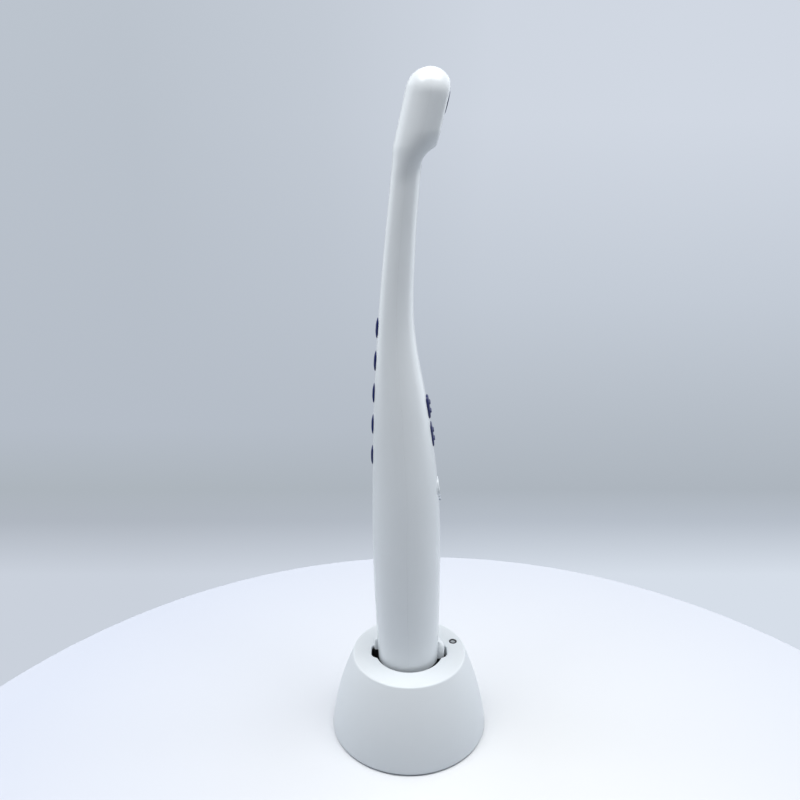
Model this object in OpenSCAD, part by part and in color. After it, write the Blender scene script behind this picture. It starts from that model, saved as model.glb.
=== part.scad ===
// Intraoral camera: a wireless wand with a camera in its head, standing in a round charging stand.
// Millimetres. The origin is on the table, at the middle of the stand. +Z is up, the lens looks along +X.

/* [Stand] */
// Diameter of the dome at the table
stand_d = 57.6; // [54:0.2:66]
// Diameter of the flat top
stand_top_d = 41.2; // [39:0.2:44]
// Height of the flat top above the table
stand_h = 31.2; // [29:0.2:36]
// How far the side bulges out of a straight cone
stand_bulge = 1.3; // [0:0.1:3]
// Rounding of the top edge
stand_edge_r = 0.8; // [0.4:0.1:2]
// Wall of the dome
stand_wall = 2.2; // [1.6:0.1:2.6]
// Thickness of the base plate
base_t = 2; // [1.5:0.1:3]
// Height of the rim above the table
foot_lift = 0.8; // [0.3:0.1:1.5]
// Diameter of one rubber foot
foot_pad_d = 7; // [5:0.5:9]
// Depth of a rubber foot's seat in the base plate
foot_pad_seat = 0.8; // [0.4:0.1:1]
// Distance of the rubber feet from the middle
foot_pad_r = 21; // [18:0.5:22.5]
// Thickness of the steel weight
weight_t = 2.4; // [1:0.1:2.6]

/* [Well] */
// Depth of the well that holds the wand
well_depth = 19.7; // [18:0.1:20.5]
// Diameter of the well
well_d = 24.6; // [24:0.1:25.4]
// Reach of the well's ears from the middle
ear_reach = 13.9; // [13.6:0.1:14.4]
// Width of an ear
ear_w = 8; // [6:0.2:9]
// Rounding of an ear's corners
ear_corner_r = 2.6; // [1:0.1:2.9]
// Wall and floor of the well
well_wall = 1.6; // [1:0.1:1.8]

/* [Stand electronics] */
// Diameter of the charging board
stand_board_d = 37; // [36.6:0.1:37.4]
// Thickness of the charging board
stand_board_t = 1.2; // [0.8:0.1:1.6]
// Distance of the board screws from the middle
board_screw_r = 15.6; // [15.2:0.1:15.8]
// Radius of the bosses for the board screws
board_boss_r = 2.2; // [2:0.1:2.4]
// Distance of the base screws from the middle
base_screw_r = 21.6; // [21.4:0.1:22.2]
// Radius of the bosses for the base screws
base_boss_r = 2.5; // [2.2:0.1:2.6]
// Width of the power inlet
inlet_w = 8.9; // [8:0.1:10]
// Height of the power inlet
inlet_h = 3.2; // [2.6:0.1:3.3]
// Length of the power inlet
inlet_len = 7.4; // [6:0.2:8]
// Wall of the power inlet's shell
inlet_wall = 0.35; // [0.2:0.05:0.5]
// Distance of the indicator from the middle
indicator_r = 17.5; // [16.9:0.1:17.8]
// Direction of the indicator from the lens side
indicator_angle = 19; // [12:0.5:32]
// Diameter of the indicator's hole
indicator_d = 3; // [2.4:0.1:3]
// Diameter of the indicator's light pipe
pipe_d = 1.7; // [1.2:0.1:1.9]
// Radius of a charging pin's tip
pin_tip_r = 0.5; // [0.3:0.05:0.7]
// Radius of a charging pin's barrel
pin_barrel_r = 0.9; // [0.8:0.05:1]
// Distance between neighbouring charging pins
pin_pitch = 3.6; // [3:0.1:4.5]

/* [Wand outline] */
// Length of the wand from its foot to the top of its head
wand_len = 220.3; // [216:0.1:232]
// Diameter of the round foot
foot_d = 20.8; // [20:0.1:21.6]
// Height of the heel above the foot
heel_z = 40; // [34:1:48]
// Reach of the heel to the back
heel_back = 12.3; // [11.4:0.1:13]
// Reach of the heel to the front
heel_front = 10.85; // [10.2:0.05:12]
// Width of the heel
heel_w = 23.4; // [22:0.1:25]
// Height of the belly above the foot
belly_z = 66; // [60:1:72]
// Reach of the belly to the back
belly_back = 13; // [12:0.1:14]
// Reach of the belly to the front
belly_front = 10.75; // [9.8:0.05:12]
// Width of the belly
belly_w = 24; // [22:0.1:26]
// Height of the shoulder above the foot
shoulder_z = 88; // [83:1:93]
// Reach of the shoulder to the back
shoulder_back = 12.8; // [12:0.1:13.6]
// Reach of the shoulder to the front
shoulder_front = 9.6; // [9:0.05:10.4]
// Width of the shoulder
shoulder_w = 22.8; // [21.6:0.1:24.6]
// Height of the thumb rest above the foot
thumb_z = 114; // [110:1:118]
// Reach of the thumb rest to the back
thumb_back = 12.2; // [11.8:0.1:13]
// Reach of the thumb rest to the front
thumb_front = 6.2; // [5.8:0.05:6.6]
// Width of the thumb rest
thumb_w = 18.6; // [18:0.1:20]
// Height of the throat above the foot
throat_z = 143; // [138:1:149]
// Reach of the throat to the back
throat_back = 10.6; // [10:0.1:11.2]
// Reach of the throat to the front
throat_front = 1.3; // [0.8:0.05:2]
// Width of the throat
throat_w = 12.4; // [11.6:0.1:14]
// Height of the neck above the foot
neck_z = 168; // [162:1:174]
// Reach of the neck to the back
neck_back = 8.45; // [8:0.05:9]
// Reach of the neck to the front
neck_front = 1.4; // [1:0.05:2]
// Width of the neck
neck_w = 10.2; // [9.4:0.1:12]
// Reach of the nape, just under the head, to the back
nape_back = 5.85; // [5.6:0.05:6.4]
// Reach of the nape to the front
nape_front = 3.1; // [2.8:0.05:3.6]
// Width of the nape
nape_w = 10; // [9.4:0.1:11.6]
// Wall of the two wand shells
shell_wall = 1.4; // [1.1:0.1:1.5]
// Seam between the two shells
seam_gap = 0.1; // [0.05:0.01:0.15]

/* [Head] */
// Radius of the head's round back and dome
head_r = 7.3; // [7.1:0.1:7.8]
// Distance of the dome's centre from the foot's axis
head_shift = 5.35; // [4.9:0.05:5.8]
// Lean of the head
head_tilt = 13; // [11:0.5:15]
// Distance of the flat face from the head's axis
face_reach = 5.35; // [5.1:0.05:5.9]
// Reach of the head's rounded crown to the front, from the middle of the head
crown_reach = 6.6; // [6.2:0.1:7]
// Drop of the chin's corner below the top of the head
chin_drop = 22; // [21:0.2:24]
// Height over which the chin falls back to the nape
chin_h = 4.8; // [4:0.2:6]
// Length of the stretch over which the neck widens into the head
flare_h = 13; // [10:0.5:16]
// Drop of the lens below the top of the head
lens_drop = 9.8; // [9.2:0.1:11]

/* [Lens] */
// Diameter of the lens bezel
bezel_d = 6.4; // [6.2:0.1:7.2]
// How far the bezel stands out of the face
bezel_rise = 0.3; // [0.15:0.05:0.6]
// Diameter of the bezel's opening
bezel_bore = 5; // [4.8:0.1:5.4]
// Thickness of the lens window
window_t = 0.5; // [0.3:0.05:0.7]
// Diameter of the lens barrel
barrel_d = 2.6; // [2.2:0.1:2.8]
// Length of the lens barrel
barrel_len = 4.6; // [4:0.1:5]
// Diameter of one light diode
diode_d = 0.8; // [0.5:0.05:0.9]
// Number of light diodes round the lens
diode_n = 6; // [4:1:8]
// Thickness of the light ring board
light_board_t = 0.6; // [0.4:0.1:0.8]
// Side of the square sensor board
sensor_side = 7.4; // [6.6:0.1:7.6]
// Thickness of the sensor board
sensor_t = 0.8; // [0.6:0.1:1]
// Thickness of the sensor chip
chip_t = 0.7; // [0.5:0.1:0.8]

/* [Buttons] */
// Height of the panel's middle above the foot
panel_z = 105; // [103:0.5:107]
// Length of the upper button
upper_len = 8; // [7.4:0.1:8.4]
// Length of the lower button
lower_len = 8.6; // [7.8:0.1:9]
// Width of the two navy buttons
button_w = 4.6; // [4.4:0.1:6]
// Space between the two navy buttons
button_space = 1.55; // [1.2:0.05:1.8]
// Height of the space between the navy buttons above the panel's middle
button_mid = 6.4; // [6:0.1:7]
// How far a navy button stands out of the shell
button_rise = 0.5; // [0.4:0.05:0.8]
// Radius of a button's corners
button_corner_r = 1.9; // [0.8:0.1:2]
// Travel of each button
button_travel = 0.4; // [0.2:0.05:0.5]
// Clearance round each button
button_gap = 0.15; // [0.1:0.01:0.2]
// Depth of a button's stem below the shell's outside
stem_depth = 3.4; // [3.3:0.1:3.6]
// Thickness of a button's flange
flange_t = 0.6; // [0.4:0.1:0.7]
// Reach of a button's flange past the button
flange_reach = 0.6; // [0.4:0.1:0.7]
// Radius of a ridge on a navy button
ridge_r = 0.45; // [0.3:0.05:0.6]
// Length of a ridge on a navy button
ridge_len = 2.6; // [2:0.1:3.2]
// Distance between the two ridges of a button
ridge_pitch = 3; // [2.4:0.1:3.4]
// Diameter of the white power button
power_d = 6.6; // [6:0.1:7]
// How far the power button stands out
power_rise = 0.15; // [0.1:0.05:0.5]
// Drop of the power button below the panel's middle
power_drop = 18; // [17.4:0.1:18.4]
// Diameter of the status light
status_d = 1.5; // [1.2:0.1:1.7]
// Drop of the status light below the panel's middle
status_drop = 22.8; // [22.8:0.1:23.8]

/* [Grip pads] */
// Length of one grip pad
pad_len = 7; // [5:0.1:8.4]
// Width of one grip pad
pad_w = 3.8; // [2:0.1:4.4]
// Distance between neighbouring grip pads
pad_pitch = 11; // [10:0.1:12]
// Height of the lowest grip pad's middle above the foot
pad_first_z = 98.8; // [94:0.2:102]
// How far a grip pad stands out
pad_rise = 0.6; // [0.3:0.05:0.7]
// Depth of a grip pad's seat in the shell
pad_seat = 0.5; // [0.3:0.05:0.7]

/* [Foot] */
// Height of the part of the foot cap that shows
cap_h = 3; // [2:0.2:5]
// Edge rounding of the foot cap
cap_edge_r = 1; // [0.4:0.1:1.6]
// Length of the foot cap's plug inside the shells
plug_len = 5; // [4:0.2:6]
// Thickness of the foot seal
seal_d = 1.2; // [0.8:0.1:1.4]
// Radius of one charge contact
contact_r = 1.3; // [1:0.05:1.4]
// Thickness of one charge contact
contact_t = 1; // [0.6:0.1:1.4]
// Reach of the key ribs from the foot's axis
key_reach = 13; // [12.4:0.1:13.2]
// Width of the front key rib
key_w = 5; // [3:0.1:5.6]
// Width of the back key rib
back_key_w = 3.4; // [2.6:0.1:3.6]
// Shift of the back key rib to the side, so that the wand goes in one way round
back_key_shift = 1.6; // [0:0.1:2]
// Height of the top of the key ribs above the foot
key_h = 26; // [22:0.5:30]
// Height of the key ribs' sloping top
key_slope_h = 3; // [1:0.2:5]

/* [Wand insides] */
// Diameter of the battery
battery_d = 14; // [12:0.1:14.4]
// Length of the battery
battery_len = 50; // [45:0.5:51]
// Wall of the inner frame
frame_wall = 1.2; // [1:0.1:1.4]
// Width of the main board
board_w = 11; // [9:0.1:11.4]
// Length of the main board
board_len = 52; // [49:0.5:53]
// Thickness of the main board
board_t = 1; // [0.8:0.1:1.2]
// How far the main board reaches above the panel's middle
board_top = 17; // [16.5:0.1:17.6]
// Height of one switch body
switch_h = 1.2; // [0.8:0.1:1.4]
// Side of one square switch body
switch_side = 4; // [3:0.1:4.4]
// Radius of a switch plunger
plunger_r = 0.9; // [0.6:0.05:1.2]
// Height of a switch plunger
plunger_h = 0.5; // [0.3:0.05:0.6]
// Width of the ribbon to the head
ribbon_w = 4; // [3:0.1:4.4]
// Thickness of the ribbon to the head
ribbon_t = 0.3; // [0.2:0.05:0.4]

/* [Fits] */
// Clearance between pieces that are put together and stay
fit_gap = 0.1; // [0.05:0.01:0.15]
// Clearance between a screw's core and its hole
thread_gap = 0.05; // [0.02:0.01:0.08]
// Room left between a pressed button and its switch
press_room = 0.1; // [0.05:0.01:0.2]
// Radius of the core of every small screw
screw_r = 0.9; // [0.7:0.05:1]
// Radius of the head of every small screw
screw_head_r = 1.7; // [1.5:0.05:1.9]
// Height of the head of every small screw
screw_head_h = 1; // [0.8:0.1:1.1]

/* [Smoothness] */
// Segments of a full round edge
round_fn = 64; // [32:8:96]
// Segments of the wand's outline on each shell
shell_segments = 16; // [12:4:20]
// Rings of the wand between its foot and its nape
shell_rings = 26; // [20:1:36]

/* [Hidden] */

white = [0.93, 0.94, 0.96];
navy = [0.07, 0.13, 0.42];
steel = [0.6, 0.62, 0.65];
board_green = [0.05, 0.32, 0.2];
gold = [0.85, 0.68, 0.3];
dark = [0.08, 0.08, 0.1];

// Reach of a cutter past the face that it opens
cut = 1;
// Number of grip pads, one node each
pad_n = 5;

// Stand levels
base_top_z = foot_lift + base_t;
weight_top_z = base_top_z + weight_t;
foot_z = stand_h - well_depth;
well_under_z = foot_z - well_wall;
board_under_z = well_under_z - stand_board_t;
plate_under_z = stand_h - stand_wall;
dome_steps = 14;

// Wand levels
top_z = foot_z + wand_len;
dome_z = top_z - head_r;
chin_z = top_z - chin_drop;
nape_z = chin_z - chin_h;
shell_start_z = foot_z + cap_h;
lens_z = top_z - lens_drop;
lean = tan(head_tilt);
lean_stretch = 1 / cos(head_tilt);
chin_steps = 5;
head_steps = 6;
round_steps = 9;

// Dome of the stand: outer radius at height z
function dome_t(z) = (z - foot_lift) / (stand_h - foot_lift);
function dome_r(z) =
    let (t = dome_t(z))
    stand_d / 2 + (stand_top_d - stand_d) / 2 * t + 4 * stand_bulge * t * (1 - t);

// Smooth curve through points [height, value], with slopes taken from each point's neighbours
function slope(p, i) =
    let (a = max(i - 1, 0), b = min(i + 1, len(p) - 1))
    (p[b][1] - p[a][1]) / (p[b][0] - p[a][0]);
function span(p, z, i = 0) = i >= len(p) - 2 || z < p[i + 1][0] ? i : span(p, z, i + 1);
function curve(p, z) =
    let (i = span(p, z), h = p[i + 1][0] - p[i][0], s = (z - p[i][0]) / h)
    (2 * s * s * s - 3 * s * s + 1) * p[i][1]
    + (s * s * s - 2 * s * s + s) * h * slope(p, i)
    + (3 * s * s - 2 * s * s * s) * p[i + 1][1]
    + (s * s * s - s * s) * h * slope(p, i + 1);
function ease(a, b, z) = let (s = min(max((z - a) / (b - a), 0), 1)) s * s * (3 - 2 * s);

// Straight lines of the head, in the side view
function axis_x(z) = head_shift + lean * (z - dome_z);
function head_back(z) = axis_x(z) - head_r * lean_stretch;
function head_front(z) = axis_x(z) + head_r * lean_stretch;
function face_x(z) = axis_x(z) + face_reach * lean_stretch;

// Stations of the wand, in heights above the foot
nape_h = nape_z - foot_z;
chin_top_h = chin_z - foot_z;
back_line = [[0, -foot_d / 2], [heel_z, -heel_back], [belly_z, -belly_back], [shoulder_z, -shoulder_back],
             [thumb_z, -thumb_back], [throat_z, -throat_back], [neck_z, -neck_back], [nape_h, -nape_back],
             [chin_top_h, head_back(chin_z)], [chin_top_h + chin_h, head_back(chin_z + chin_h)]];
front_line = [[0, foot_d / 2], [heel_z, heel_front], [belly_z, belly_front], [shoulder_z, shoulder_front],
              [thumb_z, thumb_front], [throat_z, throat_front], [neck_z, neck_front], [nape_h, nape_front]];
width_line = [[0, foot_d / 2], [heel_z, heel_w / 2], [belly_z, belly_w / 2], [shoulder_z, shoulder_w / 2],
              [thumb_z, thumb_w / 2], [throat_z, throat_w / 2], [neck_z, neck_w / 2], [nape_h, nape_w / 2]];

// Side view of the wand at height z: back, front before the flat face is cut, and the flat face
function back_x(z) = z < chin_z ? curve(back_line, z - foot_z) : head_back(z);
function neck_front_x(z) = curve(front_line, min(z, nape_z) - foot_z);
flare_z = nape_z - flare_h / 4;
function round_front_x(z) =
    let (k = ease(flare_z, flare_z + flare_h, z))
    (1 - k) * neck_front_x(z) + k * head_front(z);
function flat_x(z) =
    z < nape_z ? neck_front_x(z)
    : z > chin_z ? face_x(z)
    : nape_front + (face_x(chin_z) - nape_front) * pow((z - nape_z) / chin_h, 2);
function half_w(z) =
    let (k = ease(flare_z - flare_h / 4, flare_z + flare_h, z))
    (1 - k) * curve(width_line, min(z, nape_z) - foot_z) + k * head_r;

// One level of the wand: [height, middle, back reach, half width, flat], drawn in by inset
function level(z, inset) =
    let (b = back_x(z), f = round_front_x(z))
    [z, (b + f) / 2, (f - b) / 2 - inset, half_w(z) - inset, flat_x(z) - inset];
// One level of the dome at elevation angle a
function dome_level(a, inset) =
    let (r = head_r - inset, z = dome_z + r * sin(a))
    let (b = max(head_shift - r * cos(a), head_back(z) + inset))
    let (f = min(head_shift + r * cos(a), head_front(z) - inset))
    let (flat = min(face_x(z) - inset, head_shift + (crown_reach - inset) * cos(a)))
    [z, (b + f) / 2, (f - b) / 2, r * cos(a), flat];

// Ring levels from the foot to the dome, without the pole
function levels(inset) = concat(
    [for (i = [0 : shell_rings - 1])
        level(shell_start_z + (nape_z - shell_start_z) * i / shell_rings, inset)],
    [for (i = [0 : chin_steps - 1]) level(nape_z + chin_h * i / chin_steps, inset)],
    [for (i = [0 : head_steps - 1]) level(chin_z + (dome_z - chin_z) * i / head_steps, inset)],
    [for (i = [0 : round_steps - 1]) dome_level(90 * i / round_steps, inset)]);

// Half angle of the zone that carries the flat face
flat_zone = 35;
function corner_angle(l) = max(flat_zone, acos(min(max((l[4] - l[1]) / l[2], 0), 1)));

// Front half of one ring, from +Y round the front to -Y
function front_ring(l, gap, n) =
    let (c = corner_angle(l), arc_n = n * 3 / 8, flat_n = n / 4, yc = l[3] * sin(c))
    concat(
        [for (i = [0 : arc_n - 1]) let (a = 90 + (c - 90) * i / arc_n) ring_point(l, a, gap)],
        [for (i = [0 : flat_n - 1]) flat_point(l, yc * (1 - 2 * i / flat_n), gap)],
        [for (i = [0 : arc_n]) let (a = c + (90 - c) * i / arc_n) ring_point(l, -a, gap)]);
function ring_point(l, a, gap) =
    [min(l[1] + gap + l[2] * cos(a), max(l[4], l[1] + gap)), l[3] * sin(a), l[0]];
function flat_point(l, y, gap) =
    [min(l[1] + gap + l[2] * sqrt(max(1 - pow(y / l[3], 2), 0)), l[4]), y, l[0]];
// Back half of one ring, from -Y round the back to +Y
function back_ring(l, gap, n) =
    [for (i = [0 : n]) let (a = 270 - 180 * i / n) [l[1] - gap + l[2] * cos(a), l[3] * sin(a), l[0]]];

// Closed half shell: outer rings, inner rings, the two seam faces, the foot face and the two poles
module half_shell(outer, inner, outer_pole, inner_pole) {
    rows = len(outer);
    n = len(outer[0]) - 1;
    inner_first = rows * (n + 1);
    pole_o = 2 * inner_first;
    pole_i = pole_o + 1;
    points = concat([for (r = outer) each r], [for (r = inner) each r], [outer_pole, inner_pole]);
    function o(i, j) = i * (n + 1) + j;
    function q(i, j) = inner_first + o(i, j);
    function quad(a, b, c, d) = [[a, b, c], [a, c, d]];
    last = rows - 1;
    faces = concat(
        [for (i = [0 : last - 1], j = [0 : n - 1])
            each quad(o(i, j), o(i, j + 1), o(i + 1, j + 1), o(i + 1, j))],
        [for (i = [0 : last - 1], j = [0 : n - 1])
            each quad(q(i, j), q(i + 1, j), q(i + 1, j + 1), q(i, j + 1))],
        [for (j = [0 : n - 1])
            each [[o(last, j), o(last, j + 1), pole_o], [q(last, j), pole_i, q(last, j + 1)]]],
        [for (j = [0 : n - 1]) each quad(o(0, j), q(0, j), q(0, j + 1), o(0, j + 1))],
        [for (i = [0 : last - 1]) each quad(o(i, 0), o(i + 1, 0), q(i + 1, 0), q(i, 0))],
        [for (i = [0 : last - 1]) each quad(o(i, n), q(i, n), q(i + 1, n), o(i + 1, n))],
        quad(o(last, 0), pole_o, pole_i, q(last, 0)),
        quad(o(last, n), q(last, n), pole_i, pole_o));
    polyhedron(points, faces, convexity = 8);
}

module front_half() {
    outer = levels(0);
    inner = levels(shell_wall);
    gap = seam_gap / 2;
    half_shell([for (l = outer) front_ring(l, gap, shell_segments)],
               [for (l = inner) front_ring(l, gap, shell_segments)],
               [head_shift + gap, 0, top_z], [head_shift + gap, 0, top_z - shell_wall]);
}

module back_half() {
    outer = levels(0);
    inner = levels(shell_wall);
    gap = seam_gap / 2;
    half_shell([for (l = outer) back_ring(l, gap, shell_segments)],
               [for (l = inner) back_ring(l, gap, shell_segments)],
               [head_shift - gap, 0, top_z], [head_shift - gap, 0, top_z - shell_wall]);
}

// Places of the button panel, of the lens and of a point on the back
panel_abs_z = foot_z + panel_z;
panel_slope = (neck_front_x(foot_z + thumb_z) - neck_front_x(foot_z + shoulder_z)) / (thumb_z - shoulder_z);
panel_tilt = atan(-panel_slope);
panel_w = half_w(panel_abs_z);
module on_panel() {
    translate([neck_front_x(panel_abs_z), 0, panel_abs_z]) rotate([0, -panel_tilt, 0]) children();
}
module on_face() {
    translate([face_x(lens_z), 0, lens_z]) rotate([0, head_tilt, 0]) children();
}
function back_slope(z) = (back_x(z + 1) - back_x(z - 1)) / 2;
module on_back(z) {
    translate([back_x(z), 0, z]) rotate([0, atan(back_slope(z)), 0]) mirror([1, 0, 0]) children();
}

// Flat outline with round corners, centred
module rounded(w, h, r) {
    square([w - 2 * r, h], center = true);
    square([w, h - 2 * r], center = true);
    for (x = [-1, 1], y = [-1, 1]) translate([x * (w / 2 - r), y * (h / 2 - r)]) circle(r, $fn = round_fn);
}
// Slab that lies across the local X axis, from x0 to x1, long in Z
module slab(length, width, r, x0, x1) {
    translate([x0, 0, 0]) rotate([0, 90, 0]) linear_extrude(x1 - x0) rounded(length, width, r);
}
// Rod along the local X axis, from x0 to x1
module rod(r, x0, x1) {
    translate([x0, 0, 0]) rotate([0, 90, 0]) cylinder(r = r, h = x1 - x0, $fn = round_fn);
}
// Small screw that points up, with its head's underside at the origin
module screw(length) {
    cylinder(r = screw_r, h = length, $fn = 24);
    translate([0, 0, -screw_head_h]) cylinder(r = screw_head_r, h = screw_head_h, $fn = 32);
}
module ring_of_four(r, first) {
    for (i = [0 : 3]) rotate([0, 0, first + 90 * i]) translate([r, 0, 0]) children();
}

// Outline of the well: a circle with an ear on each side
module well_outline(wall) {
    circle(well_d / 2 + wall, $fn = round_fn);
    rounded(2 * (ear_reach + wall), ear_w + 2 * wall, ear_corner_r + wall);
}

// Side of the dome at its top edge
edge_slope = (stand_d - stand_top_d) / 2 + 4 * stand_bulge;
edge_angle = atan(edge_slope / (stand_h - foot_lift));
edge_z = stand_h - stand_edge_r * (1 - sin(edge_angle));
edge_x = dome_r(edge_z) - stand_edge_r * cos(edge_angle);
edge_steps = 6;
module dome_profile() {
    polygon(concat(
        [[0, foot_lift]],
        [for (i = [0 : dome_steps])
            let (z = foot_lift + (edge_z - foot_lift) * i / dome_steps) [dome_r(z), z]],
        [for (i = [1 : edge_steps]) let (a = edge_angle + (90 - edge_angle) * i / edge_steps)
            [edge_x + stand_edge_r * cos(a), stand_h - stand_edge_r * (1 - sin(a))]],
        [[0, stand_h]]));
}
module dome_cavity() {
    polygon(concat(
        [[0, foot_lift - cut]],
        [[dome_r(foot_lift) - stand_wall, foot_lift - cut]],
        [for (i = [0 : dome_steps]) let (z = foot_lift + (plate_under_z - foot_lift) * i / dome_steps)
            [dome_r(z) - stand_wall, z]],
        [[0, plate_under_z]]));
}
module dome_solid() {
    rotate_extrude($fn = round_fn) dome_profile();
}

boss_bore_depth = 10;
boss_h = 7;
bore_end = 2;
inlet_top_z = board_under_z;
inlet_mid_z = inlet_top_z - inlet_h / 2;
inlet_inset = 0.4;
inlet_mouth_y = dome_r(inlet_mid_z) - inlet_inset;
inlet_corner_r = inlet_h / 2 - thread_gap;
module at_indicator() {
    rotate([0, 0, indicator_angle]) translate([indicator_r, 0, 0]) children();
}
module at_pins() {
    for (x = [-1, 0, 1]) translate([x * pin_pitch, 0, 0]) children();
}
module at_board_screws() {
    for (y = [-1, 1]) translate([0, y * board_screw_r, 0]) children();
}

module stand_shell() {
    color(white) difference() {
        union() {
            difference() {
                dome_solid();
                rotate_extrude($fn = round_fn) dome_cavity();
            }
            translate([0, 0, well_under_z]) linear_extrude(stand_h - stand_edge_r - well_under_z)
                well_outline(well_wall);
            intersection() {
                dome_solid();
                ring_of_four(base_screw_r, 45) translate([0, 0, weight_top_z])
                    cylinder(r = base_boss_r, h = stand_h - weight_top_z, $fn = 32);
            }
            at_board_screws() translate([0, 0, well_under_z])
                cylinder(r = board_boss_r, h = boss_h, $fn = 32);
        }
        translate([0, 0, foot_z]) linear_extrude(well_depth + cut) well_outline(0);
        at_pins() translate([0, 0, well_under_z - cut])
            cylinder(r = pin_barrel_r + fit_gap, h = well_wall + 2 * cut, $fn = 24);
        ring_of_four(base_screw_r, 45) translate([0, 0, weight_top_z - cut])
            cylinder(r = screw_r + thread_gap, h = boss_bore_depth + cut, $fn = 24);
        at_board_screws() translate([0, 0, well_under_z - cut])
            cylinder(r = screw_r + thread_gap, h = boss_h - bore_end + 2 * cut, $fn = 24);
        at_indicator() translate([0, 0, plate_under_z - cut])
            cylinder(r = indicator_d / 2, h = stand_wall + 2 * cut, $fn = 32);
        translate([0, inlet_mouth_y - stand_wall - 2 * cut, inlet_mid_z]) rotate([-90, 0, 0])
            linear_extrude(stand_wall + 5 * cut)
                rounded(inlet_w + 2 * fit_gap, inlet_h + 2 * fit_gap, inlet_corner_r + fit_gap);
    }
}

plate_r = dome_r(base_top_z) - stand_wall - fit_gap;
head_sink = 0.4;
base_recess = screw_head_h + head_sink;
module base_plate() {
    color(white) difference() {
        translate([0, 0, foot_lift]) cylinder(r = plate_r, h = base_t, $fn = round_fn);
        ring_of_four(foot_pad_r, 0) translate([0, 0, foot_lift - cut])
            cylinder(r = foot_pad_d / 2 + fit_gap, h = foot_pad_seat + cut, $fn = 32);
        ring_of_four(base_screw_r, 45) {
            translate([0, 0, foot_lift - cut])
                cylinder(r = screw_head_r + fit_gap, h = base_recess + cut, $fn = 32);
            translate([0, 0, foot_lift]) cylinder(r = screw_r + fit_gap, h = base_t + cut, $fn = 24);
        }
    }
}

weight_r = dome_r(weight_top_z) - stand_wall - fit_gap;
inlet_back_y = inlet_mouth_y - inlet_len;
module steel_weight() {
    color(steel) difference() {
        translate([0, 0, base_top_z]) cylinder(r = weight_r, h = weight_t, $fn = round_fn);
        ring_of_four(base_screw_r, 45) translate([0, 0, base_top_z - cut])
            cylinder(r = screw_r + fit_gap, h = weight_t + 2 * cut, $fn = 24);
        translate([-inlet_w / 2 - cut, inlet_back_y - cut, base_top_z - cut])
            cube([inlet_w + 2 * cut, weight_r, weight_t + 2 * cut]);
    }
}

tongue_side = 1.5;
tongue_w = inlet_w + 2 * tongue_side;
tongue_end_y = dome_r(well_under_z) - stand_wall - 2 * fit_gap;
module charge_board() {
    color(board_green) difference() {
        intersection() {
            translate([0, 0, board_under_z]) union() {
                cylinder(r = stand_board_d / 2, h = stand_board_t, $fn = round_fn);
                translate([-tongue_w / 2, 0, 0]) cube([tongue_w, tongue_end_y, stand_board_t]);
            }
            cylinder(r = tongue_end_y, h = stand_h, $fn = round_fn);
        }
        at_board_screws() translate([0, 0, board_under_z - cut])
            cylinder(r = screw_r + fit_gap, h = stand_board_t + 2 * cut, $fn = 24);
    }
}

// Height of a charging pin's barrel above the charging board
pin_barrel_h = well_wall - pin_tip_r;
module charge_pins() {
    color(gold) at_pins() translate([0, 0, well_under_z]) {
        cylinder(r = pin_barrel_r, h = pin_barrel_h, $fn = 24);
        cylinder(r = pin_tip_r, h = well_wall, $fn = 24);
    }
}

inlet_tongue_t = 0.7;
inlet_tongue_w = 0.75 * inlet_w;
inlet_tongue_len = inlet_len - inlet_tongue_t;
module power_inlet() {
    color(steel) translate([0, inlet_back_y, inlet_mid_z]) rotate([-90, 0, 0]) {
        difference() {
            linear_extrude(inlet_len) rounded(inlet_w, inlet_h, inlet_corner_r);
            translate([0, 0, inlet_wall]) linear_extrude(inlet_len)
                rounded(inlet_w - 2 * inlet_wall, inlet_h - 2 * inlet_wall, inlet_corner_r - inlet_wall);
        }
        translate([-inlet_tongue_w / 2, -inlet_tongue_t / 2, 0])
            cube([inlet_tongue_w, inlet_tongue_t, inlet_tongue_len]);
    }
}

module rubber_feet() {
    color(dark) ring_of_four(foot_pad_r, 0)
        cylinder(r = foot_pad_d / 2, h = foot_lift + foot_pad_seat, $fn = 32);
}

base_screw_len = base_t - base_recess + weight_t + boss_bore_depth - bore_end;
module base_screws() {
    color(steel) ring_of_four(base_screw_r, 45) translate([0, 0, foot_lift + base_recess])
        screw(base_screw_len);
}
module board_screws() {
    color(steel) at_board_screws() translate([0, 0, board_under_z]) screw(stand_board_t + boss_h - bore_end);
}

pipe_drop = 0.25;
module indicator_collar() {
    color(dark) at_indicator() translate([0, 0, plate_under_z]) difference() {
        cylinder(r = indicator_d / 2 - thread_gap, h = stand_wall, $fn = 32);
        translate([0, 0, -cut]) cylinder(r = pipe_d / 2 + thread_gap, h = stand_wall + 2 * cut, $fn = 32);
    }
}
module indicator_light() {
    color([0.75, 0.78, 0.8]) at_indicator() translate([0, 0, well_under_z])
        cylinder(r = pipe_d / 2, h = stand_h - pipe_drop - well_under_z, $fn = 32);
}

// Key rib: stands out along local +X, with a sloping top
key_root_x = foot_d / 2 - shell_wall / 2;
module key_rib(width, shift) {
    r = width / 2;
    difference() {
        translate([0, shift, shell_start_z]) linear_extrude(key_h - cap_h) intersection() {
            union() {
                translate([key_reach - r, 0]) circle(r, $fn = 32);
                translate([0, -r]) square([key_reach - r, width]);
            }
            translate([key_root_x, -width]) square([key_reach, 2 * width]);
        }
        translate([key_reach, shift, foot_z + key_h - key_slope_h])
            rotate([0, -atan((key_reach - foot_d / 2) / key_slope_h), 0])
                translate([0, -width, -key_slope_h]) cube([width, 2 * width, 4 * key_slope_h]);
    }
}

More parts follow.
